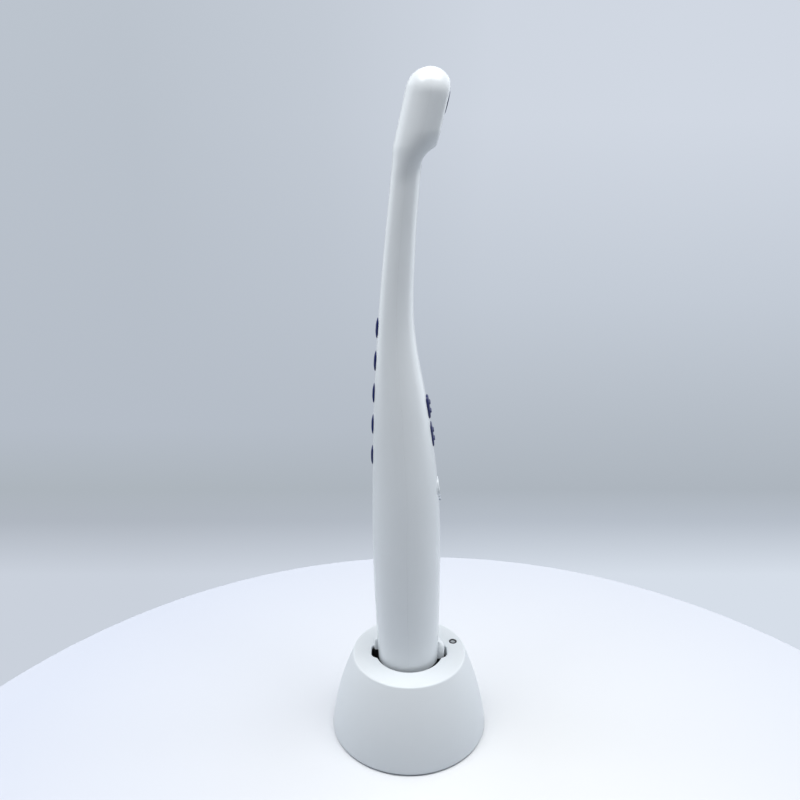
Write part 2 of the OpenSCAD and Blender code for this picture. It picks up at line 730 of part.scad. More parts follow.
upper_z = button_mid + (button_space + upper_len) / 2;
lower_z = button_mid - (button_space + lower_len) / 2;
bezel_back = shell_wall;
module front_shell() {
    color(white) difference() {
        union() {
            front_half();
            key_rib(key_w, 0);
        }
        on_face() rod(bezel_d / 2 + thread_gap, -shell_wall - cut, 2 * cut);
        on_panel() {
            translate([0, 0, upper_z]) slab(upper_len + 2 * button_gap, button_w + 2 * button_gap,
                button_corner_r + button_gap, -stem_depth, 2 * cut);
            translate([0, 0, lower_z]) slab(lower_len + 2 * button_gap, button_w + 2 * button_gap,
                button_corner_r + button_gap, -stem_depth, 2 * cut);
            translate([0, 0, -power_drop]) rod(power_d / 2 + button_gap, -stem_depth, 2 * cut);
            translate([0, 0, -status_drop]) rod(status_d / 2 + thread_gap, -stem_depth, 2 * cut);
        }
    }
}

function pad_z(i) = foot_z + pad_first_z + i * pad_pitch;
module back_shell() {
    color(white) difference() {
        union() {
            back_half();
            mirror([1, 0, 0]) key_rib(back_key_w, back_key_shift);
        }
        for (i = [0 : pad_n - 1]) on_back(pad_z(i))
            slab(pad_len + 2 * thread_gap, pad_w + 2 * thread_gap, pad_w / 2, -pad_seat, 2 * cut);
    }
}

// Drum that lies across the local X axis and bows a face down from near rise in its middle to end_rise
bow_fn = 360;
// Height of the drum over the middle of the face that it bows
bow_lift = 0.04;
module bow(length, width, rise, end_rise) {
    drop = rise + bow_lift - end_rise;
    r = (pow(length / 2, 2) + pow(drop, 2)) / (2 * drop);
    translate([end_rise + drop - r, 0, 0]) rotate([90, 0, 0])
        cylinder(r = r, h = 2 * width, center = true, $fn = bow_fn);
}

pad_end_rise = 0.12;
module grip_pad(i) {
    if (i < pad_n) color(navy) on_back(pad_z(i)) intersection() {
        slab(pad_len, pad_w, pad_w / 2 - thread_gap, -pad_seat, pad_rise + cut);
        translate([-half_w(pad_z(i)), 0, -pad_len])
            cylinder(r = half_w(pad_z(i)) + pad_rise, h = 2 * pad_len, $fn = round_fn);
        bow(pad_len, pad_w, pad_rise, pad_end_rise);
    }
}

// Navy button with two ridges across it, in the panel's frame
button_end_rise = 0.2;
// Depth of a ridge's middle line below the top of its button
ridge_sink = 0.12;
module navy_button(length) {
    color(navy) {
        intersection() {
            slab(length, button_w, button_corner_r, -stem_depth, button_rise + cut);
            translate([-panel_w, 0, -length])
                cylinder(r = panel_w + button_rise, h = 2 * length, $fn = round_fn);
            bow(length, button_w, button_rise, button_end_rise);
        }
        slab(length, button_w + 2 * flange_reach, button_corner_r, -stem_depth, -stem_depth + flange_t);
        for (z = [-1, 1]) translate([button_rise - ridge_sink, 0, z * ridge_pitch / 2]) {
            rotate([90, 0, 0]) cylinder(r = ridge_r, h = ridge_len, center = true, $fn = 24);
            for (y = [-1, 1]) translate([0, y * ridge_len / 2, 0]) sphere(ridge_r, $fn = 24);
        }
    }
}
module upper_button() {
    on_panel() translate([0, 0, upper_z]) navy_button(upper_len);
}
module lower_button() {
    on_panel() translate([0, 0, lower_z]) navy_button(lower_len);
}
module power_button() {
    color(white) on_panel() translate([0, 0, -power_drop]) {
        rod(power_d / 2, -stem_depth, power_rise);
        rod(power_d / 2 + flange_reach, -stem_depth, -stem_depth + flange_t);
    }
}

// Board level under the buttons, in the panel's frame
plunger_x = -stem_depth - button_travel - press_room;
board_face_x = plunger_x - plunger_h - switch_h;
board_back_x = board_face_x - board_t;
board_bottom = board_top - board_len;
// Free stretch at the top of the main board, where the ribbon is fixed behind it
ribbon_end = 5;
module button_switches() {
    color(dark) on_panel() for (z = [upper_z, lower_z, -power_drop]) translate([0, 0, z]) {
        rod(plunger_r, board_face_x, plunger_x);
        translate([board_face_x, -switch_side / 2, -switch_side / 2])
            cube([switch_h, switch_side, switch_side]);
    }
}
status_rise = 0.1;
module status_light() {
    color([0.9, 0.92, 0.95]) on_panel() translate([0, 0, -status_drop])
        rod(status_d / 2, board_face_x, status_rise);
}
module main_board() {
    color(board_green) on_panel()
        translate([board_back_x, -board_w / 2, board_bottom]) cube([board_t, board_w, board_len]);
}
radio_side = 7.6;
radio_h = 1.4;
radio_z = (lower_z - lower_len / 2 - power_drop + power_d / 2) / 2;
module radio_module() {
    color(steel) on_panel() translate([board_face_x, -radio_side / 2, radio_z - radio_side / 2])
        cube([radio_h, radio_side, radio_side]);
}
processor_side = 8;
processor_h = 1.1;
processor_bottom = board_bottom + 2;
module image_processor() {
    color(dark) on_panel() translate([board_face_x, -processor_side / 2, processor_bottom])
        cube([processor_h, processor_side, processor_side]);
}

// Foot of the wand
plug_r = foot_d / 2 - shell_wall - 2 * fit_gap;
plug_top_z = shell_start_z + plug_len;
seal_mid_z = shell_start_z + plug_len / 2;
seal_r = plug_r - seal_d / 2 + fit_gap;
cap_screw_y = 6.2;
cap_head_z = foot_z + screw_head_h + head_sink;
module at_cap_screws() {
    for (y = [-1, 1]) translate([0, y * cap_screw_y, 0]) children();
}
module foot_cap() {
    color(white) difference() {
        union() {
            translate([0, 0, foot_z]) rotate_extrude($fn = round_fn) {
                square([foot_d / 2 - cap_edge_r, cap_h]);
                translate([0, cap_edge_r]) square([foot_d / 2, cap_h - cap_edge_r]);
                translate([foot_d / 2 - cap_edge_r, cap_edge_r]) intersection() {
                    circle(cap_edge_r, $fn = 32);
                    translate([0, -cap_edge_r]) square(cap_edge_r);
                }
            }
            translate([0, 0, foot_z]) cylinder(r = plug_r, h = cap_h + plug_len, $fn = round_fn);
        }
        translate([0, 0, seal_mid_z - seal_d / 2 - thread_gap]) difference() {
            cylinder(r = plug_r + cut, h = seal_d + 2 * thread_gap, $fn = round_fn);
            translate([0, 0, -cut]) cylinder(r = seal_r - seal_d / 2, h = seal_d + 3 * cut, $fn = round_fn);
        }
        at_pins() translate([0, 0, foot_z - cut])
            cylinder(r = contact_r + thread_gap, h = contact_t + cut, $fn = 24);
        at_cap_screws() {
            translate([0, 0, foot_z - cut])
                cylinder(r = screw_head_r + fit_gap, h = cap_head_z - foot_z + cut, $fn = 32);
            translate([0, 0, foot_z]) cylinder(r = screw_r + fit_gap, h = cap_h + plug_len + cut, $fn = 24);
        }
    }
}
module foot_seal() {
    color(dark) translate([0, 0, seal_mid_z]) rotate_extrude($fn = round_fn)
        translate([seal_r, 0]) circle(seal_d / 2, $fn = 24);
}
module charge_contacts() {
    color(gold) at_pins() translate([0, 0, foot_z]) cylinder(r = contact_r, h = contact_t, $fn = 24);
}

// Inner frame: end disc, battery cradle, bulkhead and board tray
disc_t = 2.4;
battery_r = battery_d / 2;
battery_z = plug_top_z + disc_t;
battery_x = (back_x(battery_z + battery_len / 2) + neck_front_x(battery_z + battery_len / 2)) / 2;
bulkhead_z = battery_z + battery_len + fit_gap;
cradle_r = battery_r + fit_gap;
rail_reach = 0.8;
rail_y = board_w / 2 + fit_gap + rail_reach;
function inside_r(z) = min(half_w(z), (neck_front_x(z) - back_x(z)) / 2) - shell_wall - 3 * fit_gap;
function middle_x(z) = (neck_front_x(z) + back_x(z)) / 2;
module frame_disc(z, t) {
    translate([middle_x(z), 0, z]) cylinder(r = inside_r(z), h = t, $fn = round_fn);
}
tray_top = board_top - ribbon_end;
tray_bottom = (bulkhead_z + disc_t / 2 - panel_abs_z) / cos(panel_tilt);
module cap_screws() {
    color(steel) at_cap_screws() translate([0, 0, cap_head_z])
        screw(plug_top_z - cap_head_z + disc_t - head_sink);
}
module inner_frame() {
    color([0.3, 0.32, 0.35]) difference() {
        union() {
            frame_disc(plug_top_z, disc_t);
            frame_disc(bulkhead_z, disc_t);
            intersection() {
                translate([battery_x, 0, battery_z - disc_t / 2])
                    cylinder(r = cradle_r + frame_wall, h = battery_len + disc_t, $fn = round_fn);
                translate([battery_x - 2 * battery_d, -battery_d, battery_z - disc_t])
                    cube([2 * battery_d, 2 * battery_d, battery_len + 2 * disc_t]);
            }
            on_panel() {
                translate([board_back_x - frame_wall, -board_w / 2, tray_bottom])
                    cube([frame_wall, board_w, tray_top - tray_bottom]);
                difference() {
                    translate([board_back_x - frame_wall, -rail_y, board_bottom])
                        cube([frame_wall + board_t, 2 * rail_y, board_len / 2]);
                    translate([board_back_x, -board_w / 2 - fit_gap, board_bottom - cut])
                        cube([board_t + cut, board_w + 2 * fit_gap, board_len]);
                }
            }
        }
        translate([battery_x, 0, battery_z])
            cylinder(r = cradle_r, h = battery_len + fit_gap, $fn = round_fn);
        at_cap_screws() translate([0, 0, plug_top_z - cut])
            cylinder(r = screw_r + thread_gap, h = disc_t + 2 * cut, $fn = 24);
    }
}
module battery() {
    color([0.25, 0.45, 0.7]) translate([battery_x, 0, battery_z])
        cylinder(r = battery_r, h = battery_len, $fn = round_fn);
}

// Camera in the head, in the face's frame: everything lies behind the window, along -X
window_sink = 0.15;
window_front = bezel_rise - window_sink;
window_back = window_front - window_t;
window_step = 0.3;
light_front = -bezel_back;
light_back = light_front - light_board_t;
diode_h = 0.6;
barrel_room = 0.2;
barrel_front = window_back - barrel_room;
barrel_back = barrel_front - barrel_len;
chip_back = barrel_back - chip_t;
sensor_back = chip_back - sensor_t;
diode_ring_r = (barrel_d / 2 + bezel_bore / 2 - window_step) / 2;
chip_side = 4.2;
module lens_bezel() {
    color(navy) on_face() difference() {
        rod(bezel_d / 2, -bezel_back, bezel_rise);
        rod(bezel_bore / 2, window_back, bezel_rise + cut);
        rod(bezel_bore / 2 - window_step, -bezel_back - cut, bezel_rise);
    }
}
module lens_window() {
    color([0.2, 0.25, 0.4]) on_face() rod(bezel_bore / 2 - thread_gap, window_back, window_front);
}
module lens_barrel() {
    color(dark) on_face() rod(barrel_d / 2, barrel_back, barrel_front);
}
module light_board() {
    color(board_green) on_face() difference() {
        rod(bezel_d / 2 - fit_gap, light_back, light_front);
        rod(barrel_d / 2 + fit_gap, light_back - cut, light_front + cut);
    }
}
module light_diodes() {
    color([0.95, 0.95, 0.8]) on_face() for (i = [0 : diode_n - 1]) rotate([360 * i / diode_n, 0, 0])
        translate([0, diode_ring_r, 0]) rod(diode_d / 2, light_front, light_front + diode_h);
}
module image_sensor() {
    color(board_green) on_face() {
        translate([sensor_back, -sensor_side / 2, -sensor_side / 2])
            cube([sensor_t, sensor_side, sensor_side]);
        translate([chip_back, -chip_side / 2, -chip_side / 2]) cube([chip_t, chip_side, chip_side]);
    }
}

// Ribbon from the back of the main board to the back of the sensor board, as heights and places
function panel_point(x, z) = [
    panel_abs_z + x * sin(panel_tilt) + z * cos(panel_tilt),
    neck_front_x(panel_abs_z) + x * cos(panel_tilt) - z * sin(panel_tilt)];
function face_point(x, z) = [
    lens_z - x * sin(head_tilt) + z * cos(head_tilt),
    face_x(lens_z) + x * cos(head_tilt) + z * sin(head_tilt)];
ribbon_low_x = board_back_x - ribbon_t / 2 - fit_gap;
ribbon_high_x = sensor_back - ribbon_t;
ribbon_low = panel_point(ribbon_low_x, board_top - ribbon_end + cut);
ribbon_line = concat(
    [ribbon_low, panel_point(ribbon_low_x, board_top)],
    [for (h = [throat_z, neck_z]) [foot_z + h, middle_x(foot_z + h)]],
    [[nape_z, middle_x(nape_z)]],
    [for (z = [-sensor_side, -sensor_side / 2, 0]) face_point(ribbon_high_x, z)]);
ribbon_top = ribbon_line[len(ribbon_line) - 1];
ribbon_steps = 40;
module camera_ribbon() {
    zs = [for (i = [0 : ribbon_steps]) ribbon_low[0] + (ribbon_top[0] - ribbon_low[0]) * i / ribbon_steps];
    color([0.7, 0.45, 0.15]) translate([0, ribbon_w / 2, 0]) rotate([90, 0, 0]) linear_extrude(ribbon_w)
        polygon(concat(
            [for (z = zs) [curve(ribbon_line, z) - ribbon_t / 2, z]],
            [for (i = [ribbon_steps : -1 : 0]) [curve(ribbon_line, zs[i]) + ribbon_t / 2, zs[i]]]));
}

stand_shell();
base_plate();
steel_weight();
charge_board();
charge_pins();
power_inlet();
indicator_collar();
indicator_light();
rubber_feet();
base_screws();
board_screws();
front_shell();
back_shell();
foot_cap();
foot_seal();
charge_contacts();
cap_screws();
inner_frame();
battery();
main_board();
image_processor();
radio_module();
button_switches();
camera_ribbon();
lens_bezel();
lens_window();
lens_barrel();
light_board();
light_diodes();
image_sensor();
upper_button();
lower_button();
power_button();
status_light();
grip_pad(0);  // grip_pad_1
grip_pad(1);  // grip_pad_2
grip_pad(2);  // grip_pad_3
grip_pad(3);  // grip_pad_4
grip_pad(4);  // grip_pad_5
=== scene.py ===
"""Looks of a wireless intraoral camera that stands in its round charging stand."""
import math

import bmesh
import bpy
import numpy as np
from mathutils import Matrix, Vector


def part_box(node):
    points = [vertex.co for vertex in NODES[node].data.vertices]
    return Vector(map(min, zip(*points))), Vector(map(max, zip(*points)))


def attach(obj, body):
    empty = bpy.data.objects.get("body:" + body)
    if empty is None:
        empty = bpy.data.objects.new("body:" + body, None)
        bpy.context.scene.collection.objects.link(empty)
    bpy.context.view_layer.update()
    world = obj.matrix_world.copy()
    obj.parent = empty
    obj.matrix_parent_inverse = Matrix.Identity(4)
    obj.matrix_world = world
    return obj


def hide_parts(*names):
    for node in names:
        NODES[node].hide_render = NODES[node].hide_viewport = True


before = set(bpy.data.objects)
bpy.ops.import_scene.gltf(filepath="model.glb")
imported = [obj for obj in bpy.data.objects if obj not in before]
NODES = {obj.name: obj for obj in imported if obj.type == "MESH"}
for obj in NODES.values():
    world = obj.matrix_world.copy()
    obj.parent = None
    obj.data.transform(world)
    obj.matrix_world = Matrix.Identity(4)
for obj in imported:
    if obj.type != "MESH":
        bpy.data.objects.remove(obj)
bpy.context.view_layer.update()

MM = 0.001

# Camera: its place in metres and how far it looks down, in degrees
CAMERA_PLACE, LOOK_DOWN = (-0.0034, -0.2494, 0.2174), 19.36
FOCAL_LENGTH, SENSOR_WIDTH = 36, 36
camera_data = bpy.data.cameras.new("photo_camera")
camera_data.sensor_width = SENSOR_WIDTH
camera_data.lens = FOCAL_LENGTH
camera_data.clip_start = 0.01
camera = bpy.data.objects.new("photo_camera", camera_data)
bpy.context.collection.objects.link(camera)
camera.location = CAMERA_PLACE
camera.rotation_euler = (math.radians(90 - LOOK_DOWN), 0, 0)
bpy.context.scene.camera = camera
bpy.context.scene.view_settings.view_transform = "Standard"

# Sizes in millimetres and degrees: most are those of the solids, with finer edges
# Stand
STAND_D, STAND_TOP_D, STAND_H, STAND_BULGE, STAND_EDGE_R = 57.6, 41.2, 31.2, 1.3, 0.8
STAND_WALL, FOOT_LIFT, RIM_R, UNDER_RING, ROOM_BELOW = 2.2, 0.62, 0.35, 4, 3
WELL_DEPTH, WELL_D, WELL_WALL, WELL_LIP, MOUTH_R, MOUTH_OVER = 19.7, 24.6, 1.6, 1, 0.5, 0.5
EAR_REACH, EAR_W, EAR_CORNER_R = 13.9, 8, 2.6
# Painted shade in the well: its depth under the plate, less in the back ear, the slack of its bounds, and the
# line behind which the back ear lies
PAINTED_SHADE_DROP, EAR_PAINTED_SHADE_DROP, PAINTED_SHADE_SLACK, BACK_EAR_X = 4, 1.2, 0.1, 1 - WELL_D / 2
INDICATOR_R, INDICATOR_ANGLE, INDICATOR_D, INDICATOR_DEPTH, INDICATOR_BEVEL = 17.5, 19, 3, 4, 0.12
COLLAR_DEPTH, COLLAR_EDGE_R, PIPE_D = 2.2, 0.15, 1.7
INLET_ROOM, INLET_CORNER_ROOM, INLET_SLOT_START, INLET_SLOT_END = 0.1, 0.04, 20, 32
FOOT_Z = STAND_H - WELL_DEPTH
# Wand
WAND_LEN, FOOT_D, CAP_H = 220.3, 20.8, 3
HEAD_R, HEAD_SHIFT, HEAD_TILT, FACE_REACH, CROWN_REACH = 7.3, 5.35, 13, 5.35, 6.6
CHIN_DROP, CHIN_H, FLARE_H, LENS_DROP, NAPE_FRONT = 22, 4.8, 13, 9.8, 3.1
FACE_EDGE, CHIN_EDGE, CROWN_EDGE = 1.0, 0.9, 1.2
SHELL_WALL, SEAM_GAP, SEAM_EDGE, SEAM_PULL = 1.4, 0.01, 0.12, 0.008
TOP_Z = FOOT_Z + WAND_LEN
DOME_Z = TOP_Z - HEAD_R
CHIN_Z = TOP_Z - CHIN_DROP
NAPE_Z = CHIN_Z - CHIN_H
SHELL_START_Z = FOOT_Z + CAP_H
LENS_Z = TOP_Z - LENS_DROP
LEAN = math.tan(math.radians(HEAD_TILT))
STRETCH = 1 / math.cos(math.radians(HEAD_TILT))
TURN = math.sin(math.radians(HEAD_TILT))
# Height above the foot, reach to the back, reach to the front, width
STATIONS = [(0, FOOT_D / 2, FOOT_D / 2, FOOT_D), (40, 12.3, 10.85, 23.4), (66, 13, 10.75, 24),
            (88, 12.8, 9.6, 22.8), (114, 12.2, 6.2, 18.6), (143, 10.6, 1.3, 12.4), (168, 8.45, 1.4, 10.2),
            (NAPE_Z - FOOT_Z, 5.85, NAPE_FRONT, 10)]
# Buttons
PANEL_LOW, PANEL_MID, PANEL_HIGH = 88, 105, 114
BUTTON_W, BUTTON_CORNER_R, BUTTON_GAP, STEM_DEPTH = 4.6, 1.9, 0.15, 3.4
BUTTON_RISE, BUTTON_END_RISE, BUTTON_EDGE_R, BOW_LIFT, BOW_EDGE = 0.5, 0.2, 0.35, 0.04, 0.08
UPPER_LEN, LOWER_LEN, BUTTON_SPACE, BUTTON_MID = 8, 8.6, 1.55, 6.4
FLANGE, FLANGE_H, FLANGE_CORNER_R = 0.6, 0.6, 1.8
RIDGE_R, RIDGE_TIP_R, RIDGE_LEN, RIDGE_PITCH, RIDGE_SINK = 0.45, 0.004, 2.6, 3, 0.12
POWER_D, POWER_RISE, POWER_EDGE_R, POWER_DROP, STATUS_D, STATUS_DROP = 6.6, 0.15, 0.12, 18, 1.5, 22.8
POWER_DISH = ((2.4, 0.02), (1.4, 0.12), (0, 0.15))  # radius, depth
# Grip pads
PAD_N, PAD_LEN, PAD_W, PAD_PITCH, PAD_FIRST_Z, PAD_SEAT = 5, 7, 3.8, 11, 98.8, 0.5
PAD_RISE, PAD_END_RISE, PAD_EDGE_R = 0.6, 0.12, 0.42
PAD_ROOM, PAD_CORNER_ROOM, PAD_ROOM_DEPTH = 0.06, 0.03, 2
SPINE_LOW, SPINE_HIGH, SPINE_HALF_W = 80, 160, 4
# Lens
BEZEL_D, BEZEL_RISE, BEZEL_BORE, BEZEL_EDGE_R, BORE_EDGE_R, BEZEL_SEAT = 6.4, 0.3, 5, 0.18, 0.1, 0.3
WINDOW_FRONT, WINDOW_BACK, WINDOW_BEVEL = 0.15, -0.35, 0.08
BARREL_GAP, BARREL_RIM_R, BARREL_EDGE_R, FRONT_GLASS_R, FRONT_GLASS_DEPTH = 0.2, 1.3, 0.12, 0.8, 0.4
# Key ribs and the painted shade on the foot
KEY_REACH, KEY_H, KEY_SLOPE_H, KEY_ROOT, KEY_BEVEL, KEY_EDGE = 13, 26, 3, FOOT_D / 2 - 0.5, 0.3, 0.08
KEY_FOOT_GAP, KEY_SLOPE_EASE, KEY_ROOT_EDGE, KEY_SIDE_EDGE, KEY_LEAST = 0.02, 0.5, 0.2, 0.3, 0.01
FRONT_KEY_W, FRONT_KEY_SHIFT, BACK_KEY_W, BACK_KEY_SHIFT = 4.2, -0.4, 1.8, 2.4
# Painted shade on the wand's foot reaches up to these heights, just under the stand's plate and higher on the
# back rib
PAINTED_FOOT_SHADE_Z, PAINTED_KEY_SHADE_Z = STAND_H - 1.7, STAND_H - 0.7
FIT = 0.05  # room between pieces that fit together
OVER = 0.2  # how far the indicator's cutting form stands out of the plate
ROOM_TOP, LENS_ROOM_DEPTH, LENS_ROOM_TOP = 3, 3, 2
# Table
TABLE_R, TABLE_H, TABLE_EDGE_R, TABLE_MIDDLE = 203.5, 6, 0.8, (10.2, -83)
# Painted pool of light on the table: its middle, and where it starts and stops fading, in millimetres
PAINTED_LIGHT_POOL, PAINTED_LIGHT_POOL_NEAR, PAINTED_LIGHT_POOL_FAR = (40, -50), 30, 200


# Outline of the wand
def through(points, z):
    """Smooth curve through points (height, value), with slopes taken from each point's neighbours."""
    hs, vs = np.array(points, float).T
    n = len(hs)
    ks = np.array([(vs[min(i + 1, n - 1)] - vs[max(i - 1, 0)]) / (hs[min(i + 1, n - 1)] - hs[max(i - 1, 0)])
                   for i in range(n)])
    z = np.asarray(z, float)
    i = np.clip(np.searchsorted(hs, z, side="right") - 1, 0, n - 2)
    h = hs[i + 1] - hs[i]
    s = (z - hs[i]) / h
    return ((2 * s**3 - 3 * s**2 + 1) * vs[i] + (s**3 - 2 * s**2 + s) * h * ks[i]
            + (3 * s**2 - 2 * s**3) * vs[i + 1] + (s**3 - s**2) * h * ks[i + 1])


def ease(a, b, z):
    """A smooth step from 0 at a to 1 at b."""
    s = np.clip((np.asarray(z, float) - a) / (b - a), 0, 1)
    return s * s * (3 - 2 * s)


def soft_min(a, b, k):
    """The smaller of a and b, with the corner between them rounded over a width k."""
    k = np.maximum(k, 1e-6)
    h = np.maximum(k - np.abs(a - b), 0) / k
    return np.minimum(a, b) - h * h * k / 4


# Places along X at a height, and half the width there
def axis_x(z):
    return HEAD_SHIFT + LEAN * (np.asarray(z, float) - DOME_Z)


def head_back(z):
    return axis_x(z) - HEAD_R * STRETCH


def head_front(z):
    return axis_x(z) + HEAD_R * STRETCH


def face_x(z):
    return axis_x(z) + FACE_REACH * STRETCH


BACK_LINE = ([(h, -b) for h, b, f, w in STATIONS]
             + [(z - FOOT_Z, float(head_back(z))) for z in (CHIN_Z, CHIN_Z + CHIN_H)])
FRONT_LINE = [(h, f) for h, b, f, w in STATIONS]
WIDTH_LINE = [(h, w / 2) for h, b, f, w in STATIONS]
FLARE_Z = NAPE_Z - FLARE_H / 4


def back_x(z):
    z = np.asarray(z, float)
    return np.where(z < CHIN_Z, through(BACK_LINE, z - FOOT_Z), head_back(z))


def neck_front_x(z):
    return through(FRONT_LINE, np.minimum(z, NAPE_Z) - FOOT_Z)


def round_front_x(z):
    k = ease(FLARE_Z, FLARE_Z + FLARE_H, z)
    return (1 - k) * neck_front_x(z) + k * head_front(z)


def flat_x(z):
    z = np.asarray(z, float)
    s = np.maximum(z - NAPE_Z, 0) / CHIN_H
    chin = NAPE_FRONT + (float(face_x(CHIN_Z)) - NAPE_FRONT) * s**2
    return np.where(z < NAPE_Z, neck_front_x(z), soft_min(chin, face_x(z), CHIN_EDGE))


def half_w(z):
    k = ease(FLARE_Z - FLARE_H / 4, FLARE_Z + FLARE_H, z)
    return (1 - k) * through(WIDTH_LINE, np.minimum(z, NAPE_Z) - FOOT_Z) + k * HEAD_R


def wand_levels(inset):
    """Rows of height, middle, reach, half width and flat face, from the foot to just under the pole."""
    over_chin = CHIN_Z + 2
    z = np.sort(np.concatenate([np.linspace(SHELL_START_Z, NAPE_Z, 150, endpoint=False),
                                np.linspace(NAPE_Z, over_chin, 34, endpoint=False),
                                np.linspace(over_chin, DOME_Z, 24, endpoint=False),
                                [PAINTED_FOOT_SHADE_Z, PAINTED_KEY_SHADE_Z]]))
    b, f = back_x(z), round_front_x(z)
    dome = HEAD_SHIFT + np.sqrt(np.maximum(HEAD_R**2 - (z - DOME_Z)**2, 0))
    f = np.where(z > DOME_Z - HEAD_R * TURN, dome, f)
    rows = np.stack([z, (b + f) / 2, (f - b) / 2 - inset, half_w(z) - inset, flat_x(z) - inset], 1)
    a = np.radians(np.linspace(0, 90, 36, endpoint=False))
    r = HEAD_R - inset
    z = DOME_Z + r * np.sin(a)
    b = np.where(z < DOME_Z + r * TURN, head_back(z) + inset, HEAD_SHIFT - r * np.cos(a))
    f = HEAD_SHIFT + r * np.cos(a)
    flat = soft_min(face_x(z) - inset, HEAD_SHIFT + (CROWN_REACH - inset) * np.cos(a), CROWN_EDGE)
    return np.concatenate([rows, np.stack([z, (b + f) / 2, (f - b) / 2, r * np.cos(a), flat], 1)])


def shell_grid(inset, front, steps):
    """Points of one half of the wand, rows by angle, with the seam's edge rounded a little."""
    levels = wand_levels(inset)
    if front:
        angles = np.radians(np.linspace(90, -90, steps + 1))
    else:
        angles = np.radians(np.linspace(270, 90, steps + 1))
    z, mid, reach, half, flat = [levels[:, i:i + 1] for i in range(5)]
    side = 1 if front else -1
    x = mid + reach * np.cos(angles)
    if front:
        spare = np.maximum(mid + reach - flat, 0)
        x = soft_min(x, np.maximum(flat, mid), np.minimum(FACE_EDGE, spare))
    x = x + side * SEAM_GAP / 2
    y = half * np.sin(angles)
    if inset == 0:
        from_seam = np.minimum(np.arange(steps + 1), np.arange(steps, -1, -1)) * math.pi / steps * half
        pull = SEAM_PULL * np.clip(1 - from_seam / SEAM_EDGE, 0, 1)**2
        y = y - np.sign(y) * pull
    return np.stack([x, y, np.broadcast_to(z, x.shape)], 2)


# Mesh helpers
def close_up(mesh, apart):
    """Merges points that lie together and turns the faces outwards."""
    bm = bmesh.new()
    bm.from_mesh(mesh)
    bmesh.ops.remove_doubles(bm, verts=bm.verts, dist=apart)
    bmesh.ops.recalc_face_normals(bm, faces=bm.faces)
    bm.to_mesh(mesh)
    bm.free()


def piece(name, verts, faces, smooth_angle=40, recalc=False):
    """A mesh object from points in millimetres."""
    mesh = bpy.data.meshes.new(name)
    mesh.from_pydata([tuple(float(c) * MM for c in v) for v in verts], [], [tuple(f) for f in faces])
    if recalc:
        close_up(mesh, 1e-7)
    mesh.update()
    obj = bpy.data.objects.new(name, mesh)
    bpy.context.collection.objects.link(obj)
    soften(obj, smooth_angle)
    return obj


def soften(obj, angle=40):
    """Smooth shading, with a sharp edge where faces meet at more than the angle."""
    mesh = obj.data
    mesh.polygons.foreach_set("use_smooth", [True] * len(mesh.polygons))
    mesh.set_sharp_from_angle(angle=math.radians(angle))
    mesh.update()


def apply_modifiers(obj):
    """Turns what the modifiers give into the object's plain mesh."""
    depsgraph = bpy.context.evaluated_depsgraph_get()
    mesh = bpy.data.meshes.new_from_object(obj.evaluated_get(depsgraph))
    old = obj.data
    obj.modifiers.clear()
    obj.data = mesh
    mesh.name = obj.name
    if old.users == 0:
        bpy.data.meshes.remove(old)


def combine(obj, other, how):
    """Joins another solid to the object or cuts it out, and takes the other away."""
    mod = obj.modifiers.new(how, "BOOLEAN")
    mod.operation = how
    mod.solver = "EXACT"
    mod.object = other
    apply_modifiers(obj)
    bpy.data.objects.remove(other)


def join(name, objects):
    """One object from several, in one mesh."""
    bm = bmesh.new()
    for o in objects:
        bm.from_mesh(o.data)
    mesh = bpy.data.meshes.new(name)
    bm.to_mesh(mesh)
    bm.free()
    for o in objects:
        bpy.data.objects.remove(o)
    obj = bpy.data.objects.new(name, mesh)
    bpy.context.collection.objects.link(obj)
    return obj


def revolve(name, profile, steps=128, angle=40):
    """Solid of revolution about Z from (radius, height) points in millimetres, closed on the axis."""
    rings, verts, faces = [], [], []
    for r, z in profile:
        if r < 1e-6:
            rings.append([len(verts)])
            verts.append((0, 0, z))
        else:
            rings.append(list(range(len(verts), len(verts) + steps)))
            verts += [(r * math.cos(2 * math.pi * i / steps), r * math.sin(2 * math.pi * i / steps), z)
                      for i in range(steps)]
    pairs = list(zip(rings, rings[1:]))
    if len(rings[0]) > 1:
        pairs.append((rings[-1], rings[0]))
    for a, b in pairs:
        for i in range(steps):
            j = (i + 1) % steps
            if len(a) == 1 and len(b) == 1:
                continue
            if len(a) == 1:
                faces.append((a[0], b[j], b[i]))
            elif len(b) == 1:
                faces.append((a[i], a[j], b[0]))
            else:
                faces.append((a[i], a[j], b[j], b[i]))
    return piece(name, verts, faces, angle, recalc=True)


def round_corner(cx, cz, r, a0, a1, n=6):
    """Points of an arc about (cx, cz), from angle a0 to a1."""
    return [(cx + r * math.cos(math.radians(a0 + (a1 - a0) * i / n)),
             cz + r * math.sin(math.radians(a0 + (a1 - a0) * i / n))) for i in range(n + 1)]


def stack(name, rings, angle=40):
    """Closed solid from rings of equal point counts, with flat ends."""
    n = len(rings[0])
    verts = [p for ring in rings for p in ring]
    faces = [(k * n + i, k * n + (i + 1) % n, (k + 1) * n + (i + 1) % n, (k + 1) * n + i)
             for k in range(len(rings) - 1) for i in range(n)]
    faces.append(tuple(range(n))[::-1])
    faces.append(tuple(range((len(rings) - 1) * n, len(rings) * n)))
    return piece(name, verts, faces, angle, recalc=True)


def rounded_outline(w, h, r, n=10):
    """Points of a rectangle with round corners, w by h, round the middle."""
    points = []
    for cx, cy, start in ((w / 2 - r, h / 2 - r, 0), (-w / 2 + r, h / 2 - r, 90),
                          (-w / 2 + r, -h / 2 + r, 180), (w / 2 - r, -h / 2 + r, 270)):
        for i in range(n + 1):
            a = math.radians(start + 90 * i / n)
            points.append((cx + r * math.cos(a), cy + r * math.sin(a)))
    return points


